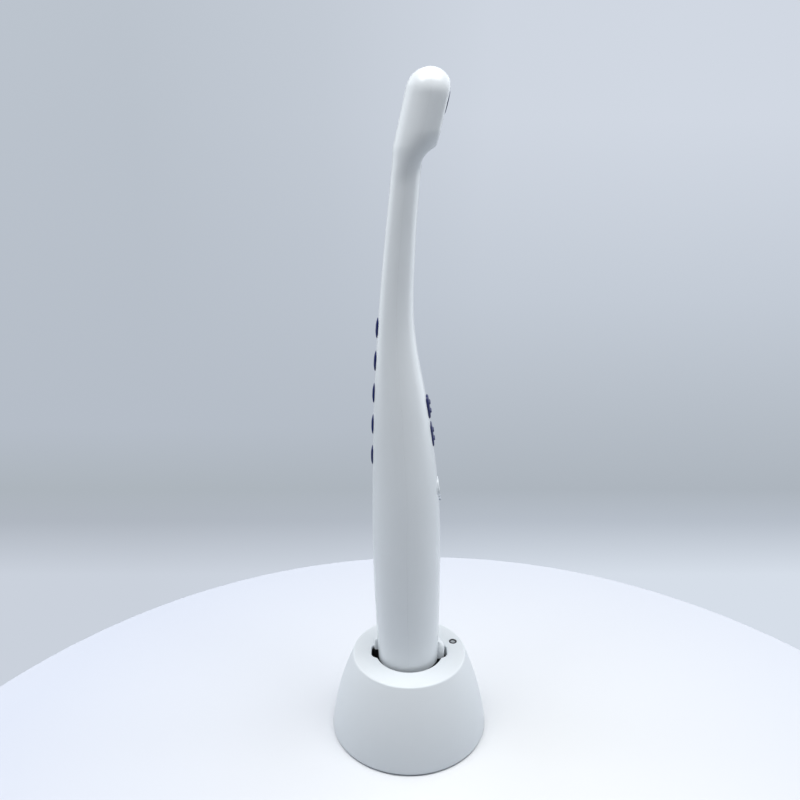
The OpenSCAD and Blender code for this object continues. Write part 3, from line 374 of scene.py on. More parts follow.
def bowed(along, length, rise, end_rise):
    """Height of a face that bows down from near its rise in the middle to end_rise at both ends."""
    drop = rise + BOW_LIFT - end_rise
    r = ((length / 2)**2 + drop**2) / (2 * drop)
    return end_rise + drop - r + math.sqrt(max(r * r - along * along, 0))


def pillow(name, length, width, corner, bottom, edge, face, angle=50):
    """Closed form that looks along +X: flat behind, straight sides, a rounded edge and a curved face."""
    rings = [[(bottom, -b, a) for a, b in rounded_outline(length, width, corner, 10)]]
    for k in range(7):
        turn = math.radians(15 * k)
        inset, drop = edge * (1 - math.cos(turn)), edge * (1 - math.sin(turn))
        ring = rounded_outline(length - 2 * inset, width - 2 * inset, corner - inset, 10)
        rings.append([(face(a, b) - drop, -b, a) for a, b in ring])
    for k in range(1, 12):
        s = 1 - k / 12
        rings.append([(face(a * s, b * s), -b * s, a * s) for a, b in
                      rounded_outline(length - 2 * edge, width - 2 * edge, corner - edge, 10)])
    return stack(name, rings, angle)


def place(obj, matrix):
    """Moves a mesh by a matrix whose lengths are in millimetres."""
    to_metres = Matrix.Diagonal((MM, MM, MM, 1))
    to_millimetres = Matrix.Diagonal((1 / MM, 1 / MM, 1 / MM, 1))
    obj.data.transform(to_metres @ matrix @ to_millimetres)
    obj.data.update()


# Places on the wand
def on_wand(x, z, tilt):
    """A place in the wand's middle plane, in millimetres, where local X is tilted from level."""
    return Matrix.Translation((float(x), 0, z)) @ Matrix.Rotation(tilt, 4, "Y")


PANEL_ABS_Z = FOOT_Z + PANEL_MID
PANEL_TILT = math.atan(float(neck_front_x(FOOT_Z + PANEL_LOW) - neck_front_x(FOOT_Z + PANEL_HIGH))
                       / (PANEL_HIGH - PANEL_LOW))
PANEL_W = float(half_w(PANEL_ABS_Z))
ON_PANEL = on_wand(neck_front_x(PANEL_ABS_Z), PANEL_ABS_Z, -PANEL_TILT)
ON_FACE = on_wand(face_x(LENS_Z), LENS_Z, math.radians(HEAD_TILT))
OUT_OF_Z = Matrix.Rotation(math.radians(90), 4, "Y")


# Node helpers
def feed(tree, socket, value):
    """Links a socket to another node's output, or sets it to a plain value."""
    if isinstance(value, bpy.types.NodeSocket):
        tree.links.new(value, socket)
    else:
        socket.default_value = value


def value_of(tree, kind, first, second=None):
    """What a math node makes of one or two values."""
    node = tree.nodes.new("ShaderNodeMath")
    node.operation = kind
    feed(tree, node.inputs[0], first)
    if second is not None:
        feed(tree, node.inputs[1], second)
    return node.outputs[0]


def spread_of(tree, source, low, high, to_low=0, to_high=1):
    """A value that runs from to_low to to_high while its source runs from low to high."""
    node = tree.nodes.new("ShaderNodeMapRange")
    for label, value in (("From Min", low), ("From Max", high), ("To Min", to_low), ("To Max", to_high)):
        node.inputs[label].default_value = value
    tree.links.new(source, node.inputs["Value"])
    return node.outputs["Result"]


def blend_of(tree, share, first, second):
    """A colour between two others: the first at share 0, the second at share 1."""
    node = tree.nodes.new("ShaderNodeMix")
    node.data_type = "RGBA"
    tree.links.new(share, node.inputs[0])
    feed(tree, node.inputs[6], first)
    feed(tree, node.inputs[7], second)
    return node.outputs[2]


def geometry_tree(name, inputs):
    """A Geometry Nodes tree with named inputs after its geometry, and its input and output node."""
    tree = bpy.data.node_groups.new(name, "GeometryNodeTree")
    face = tree.interface
    face.new_socket("Geometry", in_out="INPUT", socket_type="NodeSocketGeometry")
    for label, kind, value in inputs:
        socket = face.new_socket(label, in_out="INPUT", socket_type="NodeSocket" + kind)
        if value is not None:
            socket.default_value = value
    face.new_socket("Geometry", in_out="OUTPUT", socket_type="NodeSocketGeometry")
    return tree, tree.nodes.new("NodeGroupInput"), tree.nodes.new("NodeGroupOutput")


def run_tree(obj, tree, **values):
    """Runs a tree on an object with these inputs and keeps what it makes as a plain mesh."""
    mod = obj.modifiers.new(tree.name, "NODES")
    mod.node_group = tree
    for item in tree.interface.items_tree:
        if item.in_out == "INPUT" and item.name in values:
            mod[item.identifier] = values[item.name]
    apply_modifiers(obj)


# Materials
TONE_NOISE, GLOSS_NOISE, GRAIN_DETAIL = (60, 3), (140, 4), 4  # scale and detail


def colour_of(r, g, b):
    """A linear colour from an sRGB one in 0 to 255."""
    def line(c):
        c /= 255
        return c / 12.92 if c <= 0.04045 else ((c + 0.055) / 1.055)**2.4
    return (line(r), line(g), line(b), 1)


def finish_of(name, colour, roughness, spread=0.03, tone=0.04, grain=900, bump=0.05, depth=0.02 * MM,
              metallic=0, **sockets):
    """A finish whose sRGB colour and gloss vary a little over the surface, with a fine grain."""
    mat = bpy.data.materials.new(name)
    mat.use_nodes = True
    tree = mat.node_tree
    shader = tree.nodes["Principled BSDF"]
    place_node = tree.nodes.new("ShaderNodeTexCoord")

    def noise(scale, detail):
        node = tree.nodes.new("ShaderNodeTexNoise")
        node.inputs["Scale"].default_value = scale
        node.inputs["Detail"].default_value = detail
        tree.links.new(place_node.outputs["Object"], node.inputs["Vector"])
        return node.outputs["Fac"]

    base = colour_of(*colour)[:3]
    darker = tuple(c * (1 - tone) for c in base) + (1,)
    paler = tuple(min(c * (1 + tone), 1) for c in base) + (1,)
    tree.links.new(blend_of(tree, noise(*TONE_NOISE), darker, paler), shader.inputs["Base Color"])
    smooth, rough = max(roughness - spread, 0.02), min(roughness + spread, 1)
    tree.links.new(spread_of(tree, noise(*GLOSS_NOISE), 0, 1, smooth, rough), shader.inputs["Roughness"])
    relief = tree.nodes.new("ShaderNodeBump")
    relief.inputs["Strength"].default_value = bump
    relief.inputs["Distance"].default_value = depth
    tree.links.new(noise(grain, GRAIN_DETAIL), relief.inputs["Height"])
    tree.links.new(relief.outputs["Normal"], shader.inputs["Normal"])
    shader.inputs["Metallic"].default_value = metallic
    for socket, value in sockets.items():
        shader.inputs[socket.replace("_", " ")].default_value = value
    return mat


SHELL_WHITE = finish_of("satin_white_shell", (226, 231, 235), 0.24, tone=0.012, grain=2600, bump=0.12)
DOME_WHITE = finish_of("satin_white_dome", (218, 223, 227), 0.40, tone=0.012, grain=2200, bump=0.18)
BASE_WHITE = finish_of("matt_white_base", (224, 227, 232), 0.55, tone=0.02, grain=1500, bump=0.3)
NAVY = finish_of("navy_button_plastic", (14, 26, 84), 0.36, tone=0.06, grain=2400, bump=0.15)
BEZEL_NAVY = finish_of("dark_navy_bezel", (40, 50, 82), 0.3, tone=0.06, grain=2400, bump=0.12)
NAVY_PAD = finish_of("navy_grip_rubber", (8, 24, 84), 0.6, tone=0.08, grain=3200, bump=0.3,
                     Specular_IOR_Level=0.2)
# Black plastic for the lens barrel; the same dark finish is also painted shade in the well, on the wand's
# foot and round the indicator
DARK = finish_of("black_moulded_plastic", (34, 35, 38), 0.45, tone=0.1, grain=1800, bump=0.25)
RUBBER = finish_of("black_foot_rubber", (28, 28, 30), 0.78, tone=0.12, grain=1200, bump=0.5)
STEEL = finish_of("bare_turned_steel", (178, 180, 184), 0.3, tone=0.05, grain=2600, bump=0.2, metallic=1)
GOLD = finish_of("gold_plated_contact", (214, 176, 96), 0.24, tone=0.05, grain=2400, bump=0.12, metallic=1)
BOARD = finish_of("green_circuit_board", (28, 92, 58), 0.42, tone=0.18, grain=700, bump=0.25)
WRAP = finish_of("blue_battery_sleeve", (64, 106, 170), 0.3, tone=0.06, grain=500, bump=0.2)
FILM = finish_of("amber_ribbon_film", (176, 112, 42), 0.35, tone=0.1, grain=900, bump=0.12)
FRAME = finish_of("grey_frame_nylon", (84, 88, 94), 0.5, tone=0.08, grain=1400, bump=0.3)
CHIP = finish_of("black_chip_resin", (30, 31, 34), 0.6, tone=0.1, grain=2600, bump=0.4)
SHIELD = finish_of("tinned_steel_shield", (190, 192, 194), 0.34, tone=0.04, grain=900, bump=0.1, metallic=1)
PIPE = finish_of("clear_light_pipe", (226, 232, 236), 0.18, tone=0.02, grain=900, bump=0.05,
                 Transmission_Weight=0.55, IOR=1.49)
LAMP = finish_of("milky_status_lens", (222, 228, 236), 0.3, tone=0.02, grain=900, bump=0.05,
                 Transmission_Weight=0.25, IOR=1.49)
DIODE = finish_of("yellow_diode_resin", (240, 232, 170), 0.25, tone=0.05, grain=1500, bump=0.1)
GLASS = finish_of("coated_lens_glass", (150, 165, 215), 0.04, spread=0.01, tone=0.03, grain=400,
                  bump=0.01, Transmission_Weight=0.92, IOR=1.52, Coat_Weight=0.5, Coat_Roughness=0.03)
BLACK_GLASS = finish_of("dark_front_element", (12, 14, 30), 0.05, spread=0.01, tone=0.05, grain=400,
                        bump=0.01, Coat_Weight=1.0, Coat_Roughness=0.02)


def dress(obj, *materials):
    """Gives an object these finishes and no others."""
    obj.data.materials.clear()
    for m in materials:
        obj.data.materials.append(m)


for material, nodes in ((BASE_WHITE, "base_plate"), (GOLD, "charge_pins charge_contacts"),
                        (STEEL, "steel_weight power_inlet base_screws board_screws cap_screws"),
                        (BOARD, "charge_board main_board light_board image_sensor"),
                        (PIPE, "indicator_light"), (RUBBER, "rubber_feet foot_seal"),
                        (SHELL_WHITE, "foot_cap power_button"), (FRAME, "inner_frame"), (WRAP, "battery"),
                        (CHIP, "image_processor button_switches"), (SHIELD, "radio_module"),
                        (FILM, "camera_ribbon"), (LAMP, "status_light"), (DIODE, "light_diodes"),
                        (DARK, "lens_barrel indicator_collar"), (GLASS, "lens_window"),
                        (BEZEL_NAVY, "lens_bezel"), (DOME_WHITE, "stand_shell")):
    for name in nodes.split():
        dress(NODES[name], material)


# Stand
def dome_r(z):
    """Radius of the dome's bulging side at a height."""
    t = (z - FOOT_LIFT) / (STAND_H - FOOT_LIFT)
    return STAND_D / 2 + (STAND_TOP_D - STAND_D) / 2 * t + 4 * STAND_BULGE * t * (1 - t)


def well_outline(grow, n=96):
    """The well's round mouth with an ear on each side, as points counted round the middle."""
    r = WELL_D / 2 + grow
    w, h, c = 2 * (EAR_REACH + grow), EAR_W + 2 * grow, EAR_CORNER_R + grow
    points = []
    for i in range(4 * n):
        a = 2 * math.pi * i / (4 * n)
        dx, dy = math.cos(a), math.sin(a)
        reach = r
        for px, py in ((w / 2, h / 2 - c), (w / 2 - c, h / 2)):
            t = min(px / max(abs(dx), 1e-9), py / max(abs(dy), 1e-9))
            reach = max(reach, t)
        cx, cy = w / 2 - c, h / 2 - c
        along = abs(dx) * cx + abs(dy) * cy
        under = along * along - (cx * cx + cy * cy - c * c)
        if under > 0:
            reach = max(reach, along + math.sqrt(under))
        points.append((reach * dx, reach * dy))
    return points


def dome_tree():
    """Turns a flat grid (turn along X, height along Y) into the bulging side of the dome."""
    tree, start, end = geometry_tree("bulging_dome", (
        ("Foot radius", "Float", STAND_D / 2 * MM), ("Top radius", "Float", STAND_TOP_D / 2 * MM),
        ("Foot height", "Float", FOOT_LIFT * MM), ("Top height", "Float", STAND_H * MM),
        ("Bulge", "Float", STAND_BULGE * MM), ("Finish", "Material", None)))

    def calc(kind, first, second=None):
        return value_of(tree, kind, first, second)

    link = tree.links.new
    spot = tree.nodes.new("GeometryNodeInputPosition")
    parts = tree.nodes.new("ShaderNodeSeparateXYZ")
    link(spot.outputs[0], parts.inputs[0])
    turn, rise, inward = parts.outputs[0], parts.outputs[1], parts.outputs[2]
    foot_r, top_r, foot_h, top_h, bulge = [start.outputs[i] for i in range(1, 6)]
    t = calc("DIVIDE", calc("SUBTRACT", rise, foot_h), calc("SUBTRACT", top_h, foot_h))
    cone = calc("ADD", foot_r, calc("MULTIPLY", calc("SUBTRACT", top_r, foot_r), t))
    arch = calc("MULTIPLY", t, calc("SUBTRACT", 1, t))
    swell = calc("MULTIPLY", calc("MULTIPLY", bulge, 4), arch)
    radius = calc("ADD", calc("ADD", cone, swell), inward)
    there = tree.nodes.new("ShaderNodeCombineXYZ")
    link(calc("MULTIPLY", radius, calc("COSINE", turn)), there.inputs[0])
    link(calc("MULTIPLY", radius, calc("SINE", turn)), there.inputs[1])
    link(rise, there.inputs[2])
    move = tree.nodes.new("GeometryNodeSetPosition")
    link(start.outputs[0], move.inputs["Geometry"])
    link(there.outputs[0], move.inputs["Position"])
    real = tree.nodes.new("GeometryNodeRealizeInstances")
    link(move.outputs[0], real.inputs[0])
    paint = tree.nodes.new("GeometryNodeSetMaterial")
    link(real.outputs[0], paint.inputs["Geometry"])
    link(start.outputs[6], paint.inputs["Material"])
    link(paint.outputs[0], end.inputs[0])
    return tree


# Side of the dome as (height, step in from the side): rim, side, rounded top edge, flat top
SIDE_ROWS, EDGE_ROWS, PLATE_RADII, TURNS = 48, 14, (19.2, 17.5, 15.5, 13.0, 0), 192
edge_slope = (STAND_D - STAND_TOP_D) / 2 + 4 * STAND_BULGE
edge_angle = math.atan(edge_slope / (STAND_H - FOOT_LIFT))
edge_z = STAND_H - STAND_EDGE_R * (1 - math.sin(edge_angle))
edge_x = dome_r(edge_z) - STAND_EDGE_R * math.cos(edge_angle)
side = [(FOOT_LIFT, -dome_r(FOOT_LIFT)), (FOOT_LIFT, -UNDER_RING), (FOOT_LIFT, -RIM_R)]
side += [(FOOT_LIFT + RIM_R * (1 - math.cos(math.radians(a))), -RIM_R * (1 - math.sin(math.radians(a))))
         for a in (22, 45, 68)]
side += [(FOOT_LIFT + RIM_R + (edge_z - FOOT_LIFT - RIM_R) * i / SIDE_ROWS, 0) for i in range(SIDE_ROWS + 1)]
for i in range(1, EDGE_ROWS + 1):
    a = edge_angle + (math.pi / 2 - edge_angle) * i / EDGE_ROWS
    z = STAND_H - STAND_EDGE_R * (1 - math.sin(a))
    side.append((z, edge_x + STAND_EDGE_R * math.cos(a) - dome_r(z)))
side += [(STAND_H, r - dome_r(STAND_H)) for r in PLATE_RADII]
sheet_points = [(2 * math.pi * i / TURNS / MM, z, inward) for z, inward in side for i in range(TURNS)]
sheet_faces = [(k + i, k + (i + 1) % TURNS, k + TURNS + (i + 1) % TURNS, k + TURNS + i)
               for k in range(0, (len(side) - 1) * TURNS, TURNS) for i in range(TURNS)]
dome = piece("dome_shell", sheet_points, sheet_faces)
run_tree(dome, dome_tree(), Finish=DOME_WHITE)
close_up(dome.data, 1e-6)

inner = [(0, -ROOM_BELOW), (dome_r(FOOT_LIFT) - STAND_WALL, -ROOM_BELOW)]
inner += [(dome_r(z) - STAND_WALL, z) for z in np.linspace(FOOT_LIFT, STAND_H - STAND_WALL, 30)]
inner += [(0, STAND_H - STAND_WALL)]
combine(dome, revolve("dome_room", inner, 128), "DIFFERENCE")
cup = stack("well_cup", [[(x, y, z) for x, y in well_outline(WELL_WALL)]
                         for z in (FOOT_Z - WELL_WALL, STAND_H - WELL_LIP)])
combine(dome, cup, "UNION")
# The well's rows also stand where the painted shade in it ends
mouth = [(z, 0) for z in (FOOT_Z, STAND_H - PAINTED_SHADE_DROP, STAND_H - EAR_PAINTED_SHADE_DROP, STAND_H - MOUTH_R)]
mouth += [(STAND_H - MOUTH_R + MOUTH_R * math.sin(math.radians(a)), MOUTH_R * (1 - math.cos(math.radians(a))))
          for a in (15, 30, 45, 60, 75, 90)]
mouth += [(STAND_H + MOUTH_OVER, MOUTH_R + MOUTH_OVER)]
well = stack("well_room", [[(x, y, z) for x, y in well_outline(grow)] for z, grow in mouth])
combine(dome, well, "DIFFERENCE")
indicator = (INDICATOR_R * math.cos(math.radians(INDICATOR_ANGLE)),
             INDICATOR_R * math.sin(math.radians(INDICATOR_ANGLE)))
hole_r, hole_floor = INDICATOR_D / 2, STAND_H - INDICATOR_DEPTH
hole = revolve("indicator_hole",
               [(0, hole_floor), (hole_r, hole_floor), (hole_r, STAND_H - INDICATOR_BEVEL),
                (hole_r + INDICATOR_BEVEL + OVER, STAND_H + OVER), (0, STAND_H + OVER)], 64)
place(hole, Matrix.Translation((*indicator, 0)))
combine(dome, hole, "DIFFERENCE")
inlet_lo, inlet_hi = [Vector(c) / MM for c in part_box("power_inlet")]
inlet_mid = (inlet_lo + inlet_hi) / 2
inlet_size = inlet_hi - inlet_lo
slot_ring = rounded_outline(inlet_size.x + 2 * INLET_ROOM, inlet_size.z + 2 * INLET_ROOM,
                            inlet_size.z / 2 + INLET_CORNER_ROOM)
slot = stack("inlet_slot", [[(x, y, z + inlet_mid.z) for x, z in slot_ring]
                            for y in (INLET_SLOT_START, INLET_SLOT_END)])
combine(dome, slot, "DIFFERENCE")
soften(dome, 35)
dress(dome, DOME_WHITE, DARK)
# Painted shade: the faces that look into the well take the dark finish, up to near the plate in the back ear
for poly in dome.data.polygons:
    spot = poly.center / MM
    inside = abs(spot.y) < WELL_D / 2 + PAINTED_SHADE_SLACK and abs(spot.x) < EAR_REACH + PAINTED_SHADE_SLACK
    top = STAND_H - (EAR_PAINTED_SHADE_DROP if spot.x < BACK_EAR_X else PAINTED_SHADE_DROP)
    if inside and FOOT_Z - PAINTED_SHADE_SLACK < spot.z < top and poly.normal.to_2d().dot(spot.to_2d()) <= 0:
        poly.material_index = 1
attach(dome, "camera_and_stand")
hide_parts("stand_shell")

# The ring round the light pipe is a real part, and its dark finish is painted shade for the indicator's hole
collar_floor, collar_edge_z = STAND_H - COLLAR_DEPTH, STAND_H - COLLAR_EDGE_R
pipe_room_r, ring_r = PIPE_D / 2 + FIT, hole_r - FIT
collar = revolve("indicator_ring", [(pipe_room_r, collar_floor), (ring_r, collar_floor)]
                 + round_corner(ring_r - COLLAR_EDGE_R, collar_edge_z, COLLAR_EDGE_R, 0, 90, 4)
                 + round_corner(pipe_room_r + COLLAR_EDGE_R, collar_edge_z, COLLAR_EDGE_R, 90, 180, 4), 64)
place(collar, Matrix.Translation((*indicator, 0)))
dress(collar, DARK)
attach(collar, "camera_and_stand")
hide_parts("indicator_collar")


# Wand shells
def half_shell(name, front, steps=88):
    """One half of the wand: an outer and an inner grid, joined along the seam and at the foot."""
    outer, inner_side = shell_grid(0, front, steps), shell_grid(SHELL_WALL, front, steps)
    side = 1 if front else -1
    rows, n = outer.shape[0], steps
    verts = [tuple(p) for p in outer.reshape(-1, 3)] + [tuple(p) for p in inner_side.reshape(-1, 3)]
    first_inner = len(verts) // 2
    pole_o, pole_i = len(verts), len(verts) + 1
    verts += [(HEAD_SHIFT + side * SEAM_GAP / 2, 0, z) for z in (TOP_Z, TOP_Z - SHELL_WALL)]

    def o(i, j):
        return i * (n + 1) + j

    def q(i, j):
        return first_inner + o(i, j)

    faces = []
    for i in range(rows - 1):
        for j in range(n):
            faces.append((o(i, j), o(i, j + 1), o(i + 1, j + 1), o(i + 1, j)))
            faces.append((q(i, j), q(i + 1, j), q(i + 1, j + 1), q(i, j + 1)))
        faces.append((o(i, 0), o(i + 1, 0), q(i + 1, 0), q(i, 0)))
        faces.append((o(i, n), q(i, n), q(i + 1, n), o(i + 1, n)))
    last = rows - 1
    for j in range(n):
        faces.append((o(0, j), q(0, j), q(0, j + 1), o(0, j + 1)))
        faces.append((o(last, j), o(last, j + 1), pole_o))
        faces.append((q(last, j), pole_i, q(last, j + 1)))
    faces.append((o(last, 0), pole_o, pole_i, q(last, 0)))
    faces.append((o(last, n), q(last, n), pole_i, pole_o))
    return piece(name, verts, faces, 35, recalc=True)


def key_rib(name, sign, width, shift):
    """The rib at the wand's foot that drops into an ear of the well, with a sloping top."""
    rings = []
    r = width / 2
    foot, top = SHELL_START_Z + KEY_FOOT_GAP, FOOT_Z + KEY_H
    slope_z = top - KEY_SLOPE_H
    heights = [(foot, KEY_BEVEL), (foot + KEY_BEVEL, 0), (PAINTED_FOOT_SHADE_Z, 0), (PAINTED_KEY_SHADE_Z, 0)]
    heights += [(slope_z - KEY_SLOPE_EASE, 0), (slope_z, KEY_EDGE)]
    run = KEY_REACH - FOOT_D / 2
    heights += [(slope_z + KEY_SLOPE_H * k / 6, KEY_EDGE + run * k / 6) for k in range(1, 7)]
    for z, back in heights:
        ring = [(KEY_ROOT, -r + KEY_ROOT_EDGE), (KEY_ROOT, r - KEY_ROOT_EDGE)]
        for i in range(25):
            a = math.radians(90 - 180 * i / 24)
            x = KEY_REACH - r + (r - back) * math.cos(a) if back < r else KEY_ROOT
            ring.append((max(x, KEY_ROOT + KEY_LEAST), (r - min(back / 2, KEY_SIDE_EDGE)) * math.sin(a)))
        rings.append([(sign * x, y + shift, z) for x, y in ring])
    return stack(name, rings, 40)


def paint_shade_on_foot(shell):
    """Painted shade on the foot: a dark finish up to just under the stand's plate, where the well shades it,
    and a little higher on the back rib.
    """
    dress(shell, SHELL_WHITE, DARK)
    for poly in shell.data.polygons:
        spot = poly.center / MM
        if spot.z < (PAINTED_KEY_SHADE_Z if spot.x < BACK_EAR_X else PAINTED_FOOT_SHADE_Z):
            poly.material_index = 1


def slab(name, length, width, corner, x0, x1):
    """A slab with round corners that lies across X, from x0 to x1."""
    ring = rounded_outline(length, width, corner, 8)
    return stack(name, [[(x, -b, a) for a, b in ring] for x in (x0, x1)])


def round_room(radius, z0, z1):
    """Profile of a plain cylinder that cuts a round room, from z0 to z1."""
    return [(0, z0), (radius, z0), (radius, z1), (0, z1)]


UPPER_Z = BUTTON_MID + (BUTTON_SPACE + UPPER_LEN) / 2
LOWER_Z = BUTTON_MID - (BUTTON_SPACE + LOWER_LEN) / 2
front_shell = half_shell("wand_front_shell", True)
combine(front_shell, key_rib("front_key_rib", 1, FRONT_KEY_W, FRONT_KEY_SHIFT), "UNION")
rooms = []
for height, length in ((UPPER_Z, UPPER_LEN), (LOWER_Z, LOWER_LEN)):
    room = slab("button_room", length + 2 * BUTTON_GAP, BUTTON_W + 2 * BUTTON_GAP,
                BUTTON_CORNER_R + BUTTON_GAP, -STEM_DEPTH, ROOM_TOP)
    place(room, ON_PANEL @ Matrix.Translation((0, 0, height)))
    rooms.append(room)
for height, radius in ((-POWER_DROP, POWER_D / 2 + FIT), (-STATUS_DROP, STATUS_D / 2 + FIT)):
    room = revolve("round_room", round_room(radius, -STEM_DEPTH, ROOM_TOP), 64)
    place(room, ON_PANEL @ Matrix.Translation((0, 0, height)) @ OUT_OF_Z)
    rooms.append(room)
room = revolve("lens_room", round_room(BEZEL_D / 2 + FIT, -LENS_ROOM_DEPTH, LENS_ROOM_TOP), 96)
place(room, ON_FACE @ OUT_OF_Z)
rooms.append(room)
combine(front_shell, join("panel_rooms", rooms), "DIFFERENCE")
soften(front_shell, 35)
paint_shade_on_foot(front_shell)
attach(front_shell, "camera_and_stand")
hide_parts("front_shell")

back_shell = half_shell("wand_back_shell", False)
combine(back_shell, key_rib("back_key_rib", -1, BACK_KEY_W, BACK_KEY_SHIFT), "UNION")


# Grip pads along the back
RAY_START, RAY_LENGTH = 0.05, 0.1  # metres


def pad_solid():
    """One pad lying along Z, its outside towards -X, with falling ends and a rounded edge."""
    pad = pillow("grip_pad_form", PAD_LEN - PAD_ROOM, PAD_W - PAD_ROOM, PAD_W / 2 - PAD_ROOM, -PAD_SEAT,
                 PAD_EDGE_R, lambda a, b: min(bowed(a, PAD_LEN, PAD_RISE, PAD_END_RISE), PAD_RISE))
    place(pad, Matrix.Rotation(math.pi, 4, "Z"))
    return pad


def pad_tree():
    """Sets one pad at equal steps of height along the back's line, bent round the back."""
    tree, start, end = geometry_tree("pads_along_back", (
        ("Pads", "Int", PAD_N), ("First height", "Float", 0.0), ("Pitch", "Float", PAD_PITCH * MM),
        ("Pad", "Object", None), ("Finish", "Material", None)))
    link = tree.links.new
    row = tree.nodes.new("GeometryNodeMeshLine")
    row.mode = "OFFSET"
    link(start.outputs[1], row.inputs["Count"])
    first = tree.nodes.new("ShaderNodeCombineXYZ")
    link(start.outputs[2], first.inputs[2])
    step = tree.nodes.new("ShaderNodeCombineXYZ")
    link(start.outputs[3], step.inputs[2])
    link(first.outputs[0], row.inputs["Start Location"])
    link(step.outputs[0], row.inputs["Offset"])
    # The back comes in as an upright ribbon: a ray from behind hits it at each height
    spot = tree.nodes.new("GeometryNodeInputPosition")
    split = tree.nodes.new("ShaderNodeSeparateXYZ")
    link(spot.outputs[0], split.inputs[0])

    def back_at(shift):
        """Place on the back's line at the same height, moved up by shift."""
        far = tree.nodes.new("ShaderNodeCombineXYZ")
        far.inputs[0].default_value = -RAY_START
        link(value_of(tree, "ADD", split.outputs[2], shift), far.inputs[2])
        ray = tree.nodes.new("GeometryNodeRaycast")
        link(start.outputs[0], ray.inputs["Target Geometry"])
        link(far.outputs[0], ray.inputs["Source Position"])
        ray.inputs["Ray Direction"].default_value = (1, 0, 0)
        ray.inputs["Ray Length"].default_value = RAY_LENGTH
        return ray.outputs["Hit Position"]

    lay = tree.nodes.new("GeometryNodeSetPosition")
    link(row.outputs[0], lay.inputs["Geometry"])
    link(back_at(0), lay.inputs["Position"])
    rise = tree.nodes.new("ShaderNodeVectorMath")
    rise.operation = "SUBTRACT"
    link(back_at(MM), rise.inputs[0])
    link(back_at(-MM), rise.inputs[1])
    aim = tree.nodes.new("FunctionNodeAlignRotationToVector")
    aim.axis = "Z"
    aim.pivot_axis = "Y"
    link(rise.outputs[0], aim.inputs["Vector"])
    info = tree.nodes.new("GeometryNodeObjectInfo")
    link(start.outputs[4], info.inputs["Object"])
    spread = tree.nodes.new("GeometryNodeInstanceOnPoints")
    link(lay.outputs[0], spread.inputs["Points"])
    link(info.outputs["Geometry"], spread.inputs["Instance"])
    link(aim.outputs[0], spread.inputs["Rotation"])
    real = tree.nodes.new("GeometryNodeRealizeInstances")
    link(spread.outputs[0], real.inputs[0])
    # Bend round the back: a point moves in by its side distance squared over twice the half width
    there = tree.nodes.new("GeometryNodeInputPosition")
    parts = tree.nodes.new("ShaderNodeSeparateXYZ")
    link(there.outputs[0], parts.inputs[0])
    square = value_of(tree, "MULTIPLY", parts.outputs[1], parts.outputs[1])
    low, high = FOOT_Z + PAD_FIRST_Z, FOOT_Z + PAD_FIRST_Z + (PAD_N - 1) * PAD_PITCH
    width = spread_of(tree, parts.outputs[2], low * MM, high * MM,
                      2 * float(half_w(low)) * MM, 2 * float(half_w(high)) * MM)
    inward = tree.nodes.new("ShaderNodeCombineXYZ")
    link(value_of(tree, "DIVIDE", square, width), inward.inputs[0])
    bend = tree.nodes.new("GeometryNodeSetPosition")
    link(real.outputs[0], bend.inputs["Geometry"])
    link(inward.outputs[0], bend.inputs["Offset"])
    paint = tree.nodes.new("GeometryNodeSetMaterial")
    link(bend.outputs[0], paint.inputs["Geometry"])
    link(start.outputs[5], paint.inputs["Material"])
    link(paint.outputs[0], end.inputs[0])
    return tree


spine_z = np.linspace(FOOT_Z + SPINE_LOW, FOOT_Z + SPINE_HIGH, SPINE_HIGH - SPINE_LOW + 1)
ribbon = [(float(back_x(z)), y, z) for z in spine_z for y in (-SPINE_HALF_W, SPINE_HALF_W)]
strips = [(2 * i, 2 * i + 1, 2 * i + 3, 2 * i + 2) for i in range(len(spine_z) - 1)]
grip_pads = piece("grip_pads", ribbon, strips)
pad_form = pad_solid()
run_tree(grip_pads, pad_tree(), **{"Pads": PAD_N, "First height": (FOOT_Z + PAD_FIRST_Z) * MM,
                                   "Pitch": PAD_PITCH * MM, "Pad": pad_form, "Finish": NAVY_PAD})
bpy.data.objects.remove(pad_form)
soften(grip_pads, 50)
dress(grip_pads, NAVY_PAD)
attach(grip_pads, "camera_and_stand")
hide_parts(*[f"grip_pad_{i}" for i in range(1, PAD_N + 1)])

rooms = []
for i in range(PAD_N):
    z = FOOT_Z + PAD_FIRST_Z + i * PAD_PITCH
    lean = math.atan(float(back_x(z + 1) - back_x(z - 1)) / 2)
    room = slab("pad_room", PAD_LEN, PAD_W, PAD_W / 2 - PAD_CORNER_ROOM, -PAD_ROOM_DEPTH, PAD_SEAT)
    place(room, on_wand(back_x(z), z, lean))
    rooms.append(room)
combine(back_shell, join("pad_rooms", rooms), "DIFFERENCE")
soften(back_shell, 35)
paint_shade_on_foot(back_shell)
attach(back_shell, "camera_and_stand")
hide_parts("back_shell")


# Buttons
def ridge(z):
    """A round-ended ridge across a button, half sunk into it."""
    rings = []
    for k in range(9):
        a = math.radians(-90 + 90 * k / 8)
        rings.append((-RIDGE_LEN / 2 + RIDGE_R * math.sin(a), max(RIDGE_R * math.cos(a), RIDGE_TIP_R)))
    rings += [(-y, r) for y, r in rings[::-1]]
    solid = [[(BUTTON_RISE - RIDGE_SINK + r * math.cos(t), y, z + r * math.sin(t))
              for t in np.linspace(0, 2 * math.pi, 24, endpoint=False)] for y, r in rings]
    return stack("button_ridge", solid, 60)


